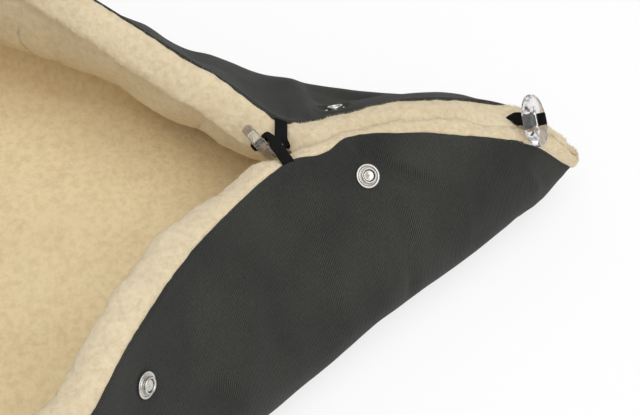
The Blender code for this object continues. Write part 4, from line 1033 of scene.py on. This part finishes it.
def wool_nap(walls, visible, normal):
    """Single hairs standing out of the pile, most of them along the rims of the hood."""
    random = np.random.default_rng(7)
    rows, columns = visible.shape[:2]
    first_crown = len(walls.t)
    hood, rest = np.where(walls.s < NAP_HOOD)[0], np.where(walls.s >= NAP_HOOD)[0]
    picks = []
    for pool, count, low in (
        (hood, 26000, first_crown - 6), (hood, 9000, 8), (rest, 5000, first_crown - 3),
    ):
        row = random.uniform(low, rows - 1.01, count)
        column = random.choice(pool, count) + random.uniform(0, 1, count)
        picks.append(np.column_stack([row, column]))
    row, column = np.vstack(picks).T
    r, c = row.astype(int), column.astype(int)
    u, v = (row - r)[:, None], (column - c)[:, None]
    c, d = c % columns, (c + 1) % columns

    def read(grid):
        low = grid[r, c] * (1 - v) + grid[r, d] * v
        return low * (1 - u) + (grid[r + 1, c] * (1 - v) + grid[r + 1, d] * v) * u

    root, out = read(visible), unit(read(normal))
    lean = random.normal(0, 1, root.shape)
    way = unit(out + 0.55 * lean)
    way = np.where((way * out).sum(-1, keepdims=True) < 0.15, unit(out + 0.3 * lean), way)
    width = unit(np.cross(way, random.normal(0, 1, root.shape))) * HAIR_HALF_WIDTH
    length = random.uniform(*HAIR_LENGTHS, (len(root), 1))
    base = root - way * HAIR_ROOT
    points = np.stack([base - width, base + width, base + way * length], 1).reshape(-1, 3)
    faces = [(3 * k, 3 * k + 1, 3 * k + 2) for k in range(len(root))]
    # the hairs take the same painted light, lighter and warmer low on the wall
    deep = np.repeat(np.clip(1 - row / first_crown, 0, 1) * 0.6, 3)
    piece = make("wool_nap", points, faces, WOOL, smooth=False, deep=deep, joined=False)
    stands_for(piece, "wool_pile", "bag")


# Front over the legs, and the flap that folds down

def crown_height(s):
    share = np.minimum((s - HOOD_LENGTH) / (POLE - HOOD_LENGTH), 1)
    return CROWN_HEIGHT + (TOE_HEIGHT - CROWN_HEIGHT) * share


def dome(sections, steps):
    """Points and inward normals of the front from its edge up to the crown line."""
    s = sections[:, PLACE]
    edge = plan(sections, RIM_INSET)
    height = ZIP_HEIGHT + seam_half(s)
    crown_y = TIP_Y - np.minimum(s, POLE)
    reach = np.column_stack([-edge[:, 0], crown_y - edge[:, 1]])
    span = np.linalg.norm(reach, axis=1)
    inward = np.column_stack([reach / np.maximum(span, 1e-9)[:, None], 0 * s])
    rise = crown_height(np.minimum(s, POLE)) - height - TAPE_WIDTH
    points, normals = [], []
    for k in np.linspace(0, 1, 5)[:-1]:
        points.append(np.column_stack([edge, height + TAPE_WIDTH * k]))
        normals.append(inward)
    low = np.column_stack([edge, height + TAPE_WIDTH])
    for turn in math.pi / 2 * np.linspace(0, 1, steps):
        cos, sin = math.cos(turn), math.sin(turn)
        points.append(low + inward * (span * (1 - cos))[:, None] + UP * (rise * sin)[:, None])
        normals.append(unit(inward * (rise * cos)[:, None] - UP * (span * sin)[:, None]))
    return np.stack(points), np.stack(normals)


def bowed(points):
    """The chest edge bows up towards the face in the middle, fading out at the fold line."""
    share = (points[..., 1] - FOLD_Y) / FLAP_LENGTH
    made = points.copy()
    made[..., 1] += CHEST_BOW * share * (1 - (points[..., 0] / HALF_WIDTH) ** 2)
    return made


def swollen(points, normals):
    """The front's cloth swelling out from its edge up, with soft lumps."""
    damp = np.clip(np.linspace(0, 1, len(points)) / 0.2, 0, 1)[:, None]
    return points - normals * (np.maximum(lumps(points, "front"), -0.0009) * damp)[..., None]


def grid_faces(rows, columns):
    return [(a, a + 1, a + 1 + columns, a + columns)
            for r in range(rows - 1) for a in range(r * columns, (r + 1) * columns - 1)]


def layered(outer, inner, rounded, chest=0.0):
    """A closed layer between two grids: rounded along its edge, and full at the chest."""
    middle = (outer[0] + inner[0]) / 2 - (outer[1] - outer[0]) * rounded
    grid = np.concatenate([inner[::-1], middle[None], outer])
    strips = [(grid.reshape(-1, 3), grid_faces(*grid.shape[:2]))]
    for column, beside, full in ((0, 1, chest), (-1, -2, 0.0)):
        way = unit(outer[:, column] - outer[:, beside])
        bulge = (outer[:, column] + inner[:, column]) / 2 + way * full
        line = [outer[:, column], bulge, inner[:, column]]
        if full:
            quarters = [(edge * 3 + bulge) / 4 + way * full * 0.6 for edge in line[::2]]
            line = [line[0], quarters[0], bulge, quarters[1], line[2]]
        end = np.stack(line)
        rows, count = end.shape[:2]
        polygons = grid_faces(rows, count)
        polygons.append((*range(0, rows * count, count), rows * count))
        strips.append((np.vstack([end.reshape(-1, 3), middle[column]]), polygons))
    return together(strips)


def front_pieces():
    lower, upper = [], []
    for side in (LEFT, RIGHT):
        start, last = HOOD_LENGTH + FLAP_LENGTH + FOLD_GAP, LENGTH - FOOT_RADIUS
        s = np.append(np.arange(start, last, 0.006), last)
        foot = foot_sections(np.linspace(0, 1, 21)[1:], side)
        lower.append(np.vstack([body_sections(s, side), foot, foot_straight(foot, 13)]))
        s = np.linspace(HOOD_LENGTH, HOOD_LENGTH + FLAP_LENGTH - FOLD_GAP, 34)
        upper.append(body_sections(s, side))
    toe = lower[0][-1:].copy()
    toe[:, X] = 0.0
    whole = np.vstack([lower[0], toe, lower[1][::-1]])
    under = BASE_DEPTH + 0.0008 + GAP
    plans = (("front", "bag", [whole], lambda p: p, 0.0), ("flap", "flap", upper, bowed, 1.0))
    for name, body, groups, bow, chest in plans:
        covers, piles = [], []
        for sections in groups:
            points, normals = dome(sections, 46)
            outer = swollen(points, normals)
            covers.append(layered(bow(outer), bow(points + normals * SHELL), 0.3))
            lifted = points.copy()
            lifted[0:3, :, 2] += PILE_CROWN * np.array((1, 0.6, 0.3))[:, None]
            damp = np.clip(np.linspace(0, 1, len(points)) / 0.1, 0, 1)[:, None]
            fuzz = lumps(points, "front_pile") * damp
            deep = lifted + normals * (under + PILE_FRONT + fuzz)[..., None]
            near = lifted + normals * under
            piles.append(layered(bow(near), bow(deep), 0.2, chest * CHEST_FULL))
        vertices, faces = together(covers)
        piece = make(name + "_cover", vertices, faces, TWILL, vertices[:, :2])
        stands_for(piece, "twill", body, name + "_shell")
        vertices, faces = together(piles)
        # its pile takes one colour from the lining's painted-light depth scale
        piece = make(name + "_pile", vertices, faces, WOOL, deep=np.full(len(vertices), 0.3))
        stands_for(piece, "wool_pile", body, name + "_lining")


# Zips

def zip_place(side, along_zip, out, up):
    """Places by their distance along a zip, out from it and up."""
    long, out, up = (np.asarray(v, float)[..., None] for v in (along_zip, out, up))
    origin = np.array((side * ZIP_X, TIP_Y - ZIP_START, ZIP_HEIGHT))
    way = np.array((-side * ZIP_SLANT, -0.99951, 0))
    aside = np.array((side * 0.99951, -ZIP_SLANT, 0))
    return origin + way * long + aside * out + UP * up


def bar(side, places, half, low, high):
    """A cord of four corners along a zip."""
    out, up = [-half, half, half, -half], [low, low, high, high]
    return capped([zip_place(side, [a] * 4, out, up) for a in places])


def softened(v):
    return np.sign(v) * np.abs(v) ** 0.6


def coil_turn(side, place, middle):
    """One turn of a zip's coil, as a ring of thin wire."""
    loop = []
    for turn in circle(COIL_TURNS):
        out, up = softened(math.cos(turn)) * COIL_OUT, softened(math.sin(turn)) * COIL_UP
        aside = place + COIL_SLANT * math.cos(turn)
        loop.append([(aside + across * COIL_WIRE, out * reach, middle + up * reach)
                     for across, reach in ((1, 1), (0, 1.3), (-1, 1), (0, 0.7))])
    rings = zip_place(side, *np.moveaxis(np.array(loop), -1, 0))
    return rings_mesh(list(rings), closed_across=True)


def zip_pieces():
    """Woven tapes, and rows of coil turns round their cords."""
    fold = FLAP_LENGTH - (ZIP_START - HOOD_LENGTH)
    parts = (("back", 0.0, ZIP_LENGTH, -1, "bag"), ("flap", 0.0, fold - FOLD_GAP, 1, "flap"),
             ("front", fold + FOLD_GAP, ZIP_LENGTH, 1, "bag"))
    for side, side_name in ((LEFT, "left"), (RIGHT, "right")):
        for place, start, end, way, body in parts:
            at = np.linspace(start, end, 40)
            vertices, faces = bar(side, at, TAPE_HALF, way * TAPE_NEAR, way * TAPE_FAR)
            uv = np.repeat(np.column_stack([at, at * 0]), 4, 0)
            uv[:, 1] = np.tile([0.0, 0.0, 0.0131, 0.0131], len(at))
            piece = make(f"tape_{place}_{side_name}", vertices, faces, TAPE, uv, smooth=False)
            stands_for(piece, "webbing", body, f"zip_tape_{place}_{side_name}")
            middle = way * COIL_MIDDLE
            count = int((end - start) / COIL_PITCH)
            coils = [coil_turn(side, a, middle)
                     for a in start + (np.arange(count) + 0.5) * (end - start) / count]
            out, up = COIL_CORE
            coils.append(bar(side, (start, end), out, middle - up, middle + up))
            vertices, faces = together(coils)
            piece = make(f"coil_{place}_{side_name}", vertices, faces, COIL)
            stands_for(piece, "zip_coil", body, f"zip_teeth_{place}_{side_name}")
        for name in ("slider", "pull", "stop"):
            refinish(f"zip_{name}_{side_name}", NICKEL)


def refinish(node, finish):
    """A new finish on a node that keeps its CAD shape."""
    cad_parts[node].material_slots[0].material = finish


# Elastics, stoppers and snaps

def strap_path(knots):
    """Points and width directions on a smooth curve through a strap's own points."""
    points, wide = (np.array([knot[k] for knot in knots]) for k in (0, 1))
    path, widths = [], []
    for i in range(len(points) - 1):
        a, b, c, d = points[[max(i - 1, 0), i, i + 1, min(i + 2, len(points) - 1)]]
        for t in np.linspace(0, 1, 9, endpoint=False):
            path.append(b * (2 * t**3 - 3 * t**2 + 1) + (c - a) / 2 * (t**3 - 2 * t**2 + t)
                        + c * (3 * t**2 - 2 * t**3) + (d - b) / 2 * (t**3 - t**2))
            widths.append(wide[i] * (1 - t) + wide[i + 1] * t)
    return np.array(path + [points[-1]]), np.array(widths + [wide[-1]])


def strap(name, knots):
    """A flat elastic on a smooth curve through its points."""
    path, widths = strap_path(knots)
    rings = swept(path, widths, STRAP_WIDTH, STRAP_THICKNESS, STRAP_SIDES)
    uv = cord_uv(path, np.cos(circle(STRAP_SIDES)) * STRAP_WIDTH / 2)
    piece = make(name + "_strap", *capped(rings), ELASTIC, uv)
    stands_for(piece, "webbing", "bag", name + "_elastic")


def oval(size, steps=40):
    """The stopper's outline: an oval with a short straight on each long side."""
    turns = (math.pi * np.linspace(0, 1, steps) - math.pi / 2) * 0.9
    half_long, half_wide = STOPPER_LENGTH * size / 2, STOPPER_WIDTH * size / 2
    right = np.column_stack([np.cos(turns) * half_long, np.sin(turns) * half_wide])
    return np.vstack([right, -right])


def toggle(name):
    """A clear oval stopper: a lens with a soft edge and a slot for the elastic."""
    middle, way, long_axis = (np.array(v) for v in STOPPERS[name])
    way, long_axis = unit(way), unit(long_axis)
    third = np.cross(way, long_axis)
    outlines = [(STOPPER_HALF * math.sin(turn), oval(0.84 + 0.16 * math.cos(turn) ** 0.75))
                for turn in np.linspace(-1, 1, 13) * math.pi / 2]
    outlines.append((STOPPER_FACE, oval(0.66)))
    slot = stadium(*STOPPER_SLOT, 40)
    for turn in np.linspace(0, math.pi, 7):
        grow = 1 + 0.16 * (1 - math.sin(turn))
        outlines.append((STOPPER_SLOT_HALF * math.cos(turn), slot * grow))
    outlines.append((-STOPPER_FACE, oval(0.66)))
    rings = [middle + way * n + np.outer(line[:, 0], long_axis) + np.outer(line[:, 1], third)
             for n, line in outlines]
    vertices, faces = rings_mesh(rings, closed_across=True)
    piece = make(name.replace("stopper", "toggle"), vertices, faces, CLEAR)
    stands_for(piece, "clear_plastic", name, name)


# Turned outlines: radius and height over the cloth, in millimetres
STUD_PROFILE = (
    (2.0, 0.3), (5.9, 0.3), (6.15, 0.4), (6.25, 0.62), (6.2, 0.85), (6.0, 1.05), (5.7, 1.13),
    (5.3, 1.1), (5.0, 0.95), (4.85, 0.65), (4.6, 0.5), (4.3, 0.55), (4.15, 0.9), (4.1, 1.8),
    (4.1, 2.3), (4.03, 2.62), (3.85, 2.85), (3.6, 2.93), (3.3, 2.88), (3.1, 2.7), (3.02, 2.4),
    (3.0, 1.5), (2.95, 1.2), (2.7, 1.1), (2.0, 1.1),
)
POST_PROFILE = (
    (0.02, -3.4), (5.5, -3.4), (5.5, -2.8), (1.7, -2.8), (1.7, 1.4), (2.3, 1.4), (2.6, 1.55),
    (2.75, 1.8), (2.65, 2.05), (2.35, 2.15), (2.0, 2.12), (1.8, 2.04), (1.55, 2.0),
    (0.02, 2.0),
)


def snaps():
    """The ring of each stud and the post of its eyelet, turned about the snap's own axis."""
    turns = circle(64)
    for place, (middle, across, outward) in SNAPS.items():
        middle, across, outward = (np.array(v) for v in (middle, across, outward))
        outward = unit(outward)
        first = unit(across - outward * (across @ outward))
        round_way = np.outer(np.cos(turns), first), np.outer(np.sin(turns), np.cross(outward, first))
        for name, profile, node in (("ring", STUD_PROFILE, "stud"), ("post", POST_PROFILE, "eyelet")):
            rings = [middle + outward * height / 1000 + sum(way * radius / 1000 for way in round_way)
                     for radius, height in profile]
            vertices, faces = rings_mesh(rings, closed_across=True)
            piece = make(f"snap_{name}_{place}", vertices, faces, NICKEL)
            stands_for(piece, "nickel", "bag", f"snap_{node}_{place}")


# Piping and stitches

def foot_piping(walls):
    """A round cord in the seam round the foot."""
    far = walls.sections[walls.s >= PIPING_START]
    places = plan(far, far[:, INSET] + SHELL / 2)
    path = np.column_stack([places, np.full(len(far), ZIP_HEIGHT)])
    across = 2 * PIPING_RADIUS
    rings = swept(path, np.tile(UP, (len(path), 1)), across, across, PIPING_SIDES)
    uv = cord_uv(path, np.arange(PIPING_SIDES) / PIPING_SIDES * PIPING_ROUND)
    piece = make("piping", *capped(rings), TWILL, uv)
    stands_for(piece, "twill", "bag", "foot_piping")


def stitches(name, body, lines):
    """Rows of short raised stitches along lines of points, each with its outward directions."""
    parts = []
    turns = circle(5)
    for path, outward in lines:
        length = run_length(path)
        count = int(length[-1] / STITCH_PITCH)
        for k in range(count):
            ends = (k + np.array((0.08, 0.25, 0.60, 0.76))) * length[-1] / count
            spots, out = (np.column_stack([np.interp(ends, length, values[:, i]) for i in range(3)])
                          for values in (path, outward))
            out = unit(out)
            aside = np.cross(unit(spots[-1] - spots[0]), out)
            rings = []
            for i, (size, high) in enumerate(((0.5, -0.9), (1, 0.4), (1, 0.4), (0.5, -0.9))):
                ring = np.outer(np.cos(turns), aside[i]) + np.outer(np.sin(turns), out[i])
                rings.append(spots[i] + out[i] * high * STITCH_HIGH + STITCH_RADIUS * size * ring)
            parts.append(capped(rings))
    piece = make(name, *together(parts), THREAD)
    stands_for(piece, "twill", body)


def front_seam(s, side):
    """A line of stitches along the front's edge, over its zip, with its outward directions."""
    points, normals = dome(body_sections(s, side), 3)
    return (points[0] * 2 + points[1] * 3) / 5 + (0, 0, STITCH_RISE), -normals[1]


def all_stitches(walls):
    lines = []
    row = np.argmin(np.abs(walls.t - 0.93))
    for side in (LEFT, RIGHT):
        k = np.where((walls.side == side) & (walls.s > STITCH_START) & (walls.s < STITCH_END))[0]
        lines.append((walls.point[row, k], -walls.inside[row, k]))
    for side in (LEFT, RIGHT):
        lines.append(front_seam(np.arange(STITCH_FRONT, STITCH_END, 0.004), side))
    for loop in slot_loops(SLOT_STITCH):
        closed = np.vstack([loop, loop[:1]])
        path = np.column_stack([closed, np.full(len(closed), -0.0001)])
        lines.append((path, np.tile(-UP, (len(path), 1))))
    stitches("stitching", "bag", lines)
    lines = []
    for side in (LEFT, RIGHT):
        path, outward = front_seam(np.linspace(STITCH_START, STITCH_FOLD, 34), side)
        lines.append((bowed(path), outward))
        points, normals = dome(body_sections(np.array([0.4035, 0.4040]), side), 60)
        path = bowed(points) + swollen(points, normals) - points
        lines.append((path[2:, 0], -normals[2:, 0]))
    stitches("flap_stitching", "flap", lines)


lining_walls, lining_face, lining_normal = wool_lining()
wool_nap(lining_walls, lining_face, lining_normal)
shell_grid = side_shell()
back_panel(shell_grid)
front_pieces()
zip_pieces()
strap("crown", CROWN_STRAP)
strap("throat", THROAT_STRAP)
for stopper in STOPPERS:
    toggle(stopper)
snaps()
foot_piping(shell_grid)
all_stitches(shell_grid)
for slot in ("shoulder_slot_binding_left", "shoulder_slot_binding_right", "crotch_slot_binding"):
    refinish(slot, BINDING)


# Camera, light and floor

def camera():
    """The photo's view: its turn and height, and where the bag's anchor point lies in it."""
    turn, tilt = math.radians(76), math.radians(47)
    ahead = np.array((-math.sin(turn), math.cos(turn), 0)) * math.cos(tilt) - UP * math.sin(tilt)
    right = np.array((math.cos(turn), math.sin(turn), 0))
    up = np.cross(right, ahead)
    eye = CAMERA_ANCHOR - CAMERA_DISTANCE * (ahead + 0.0311 * right + 0.0199 * up)
    data = bpy.data.cameras.new("camera")
    data.lens, data.sensor_width = 85.0, 36.0
    made = linked(bpy.data.objects.new("camera", data))
    axes = Matrix((right, up, -ahead)).transposed()
    made.matrix_world = Matrix.Translation(eye) @ axes.to_4x4()
    bpy.context.scene.camera = made


def lamp(name, place, aim, size, power):
    data = bpy.data.lights.new(name, "AREA")
    data.shape, data.size, data.energy = "SQUARE", size, power
    made = linked(bpy.data.objects.new(name, data))
    made.location = place
    made.rotation_euler = (Vector(aim) - Vector(place)).to_track_quat("-Z", "Y").to_euler()


def sky():
    """A grey sky that grows lighter upwards."""
    world = bpy.data.worlds.new("studio")
    world.use_nodes = True
    tree = world.node_tree
    ground = tree.nodes["Background"]
    way = tree.nodes.new("ShaderNodeTexCoord").outputs["Generated"]
    split = tree.nodes.new("ShaderNodeSeparateXYZ")
    tree.links.new(way, split.inputs[0])
    shades = ramp(tree, split.outputs["Z"], ((0.0, (0.35, 0.35, 0.36)), (0.35, 0.8), (0.7, 1.0)))
    tree.links.new(shades, ground.inputs["Color"])
    ground.inputs["Strength"].default_value = 0.68
    bpy.context.scene.world = world


def floor():
    """A white floor that glows for the camera and in reflections, and shows the shadows."""
    made, tree, node = shader("floor", (1.0, 1.0, 1.0), 0.95)
    rays = tree.nodes.new("ShaderNodeLightPath")
    seen = rays.outputs["Is Camera Ray"]
    for kind in ("Is Glossy Ray", "Is Transmission Ray"):
        most = new_node(tree, "ShaderNodeMath", operation="MAXIMUM")
        tree.links.new(seen, most.inputs[0])
        tree.links.new(rays.outputs[kind], most.inputs[1])
        seen = most.outputs[0]
    share = new_node(tree, "ShaderNodeMath", operation="MULTIPLY")
    tree.links.new(seen, share.inputs[0])
    share.inputs[1].default_value = FLOOR_GLOW
    white = tree.nodes.new("ShaderNodeEmission")
    mix = tree.nodes.new("ShaderNodeMixShader")
    for socket, source in enumerate((share, node, white)):
        tree.links.new(source.outputs[0], mix.inputs[socket])
    tree.links.new(mix.outputs[0], tree.nodes["Material Output"].inputs["Surface"])
    corners = [(x * FLOOR_REACH, y * FLOOR_REACH, FLOOR_LEVEL)
               for x, y in ((-1, -1), (1, -1), (1, 1), (-1, 1))]
    make("floor", corners, [(0, 1, 2, 3)], made, smooth=False)


camera()
lamp("key", (0.9, 0.4, 2.4), (0.0, 0.2, 0.05), 3.0, 31.0)
lamp("side", (2.2, 0.9, 1.3), (0.0, 0.2, 0.05), 1.8, 8.0)
sky()
floor()
bpy.context.scene.view_settings.view_transform = "Standard"
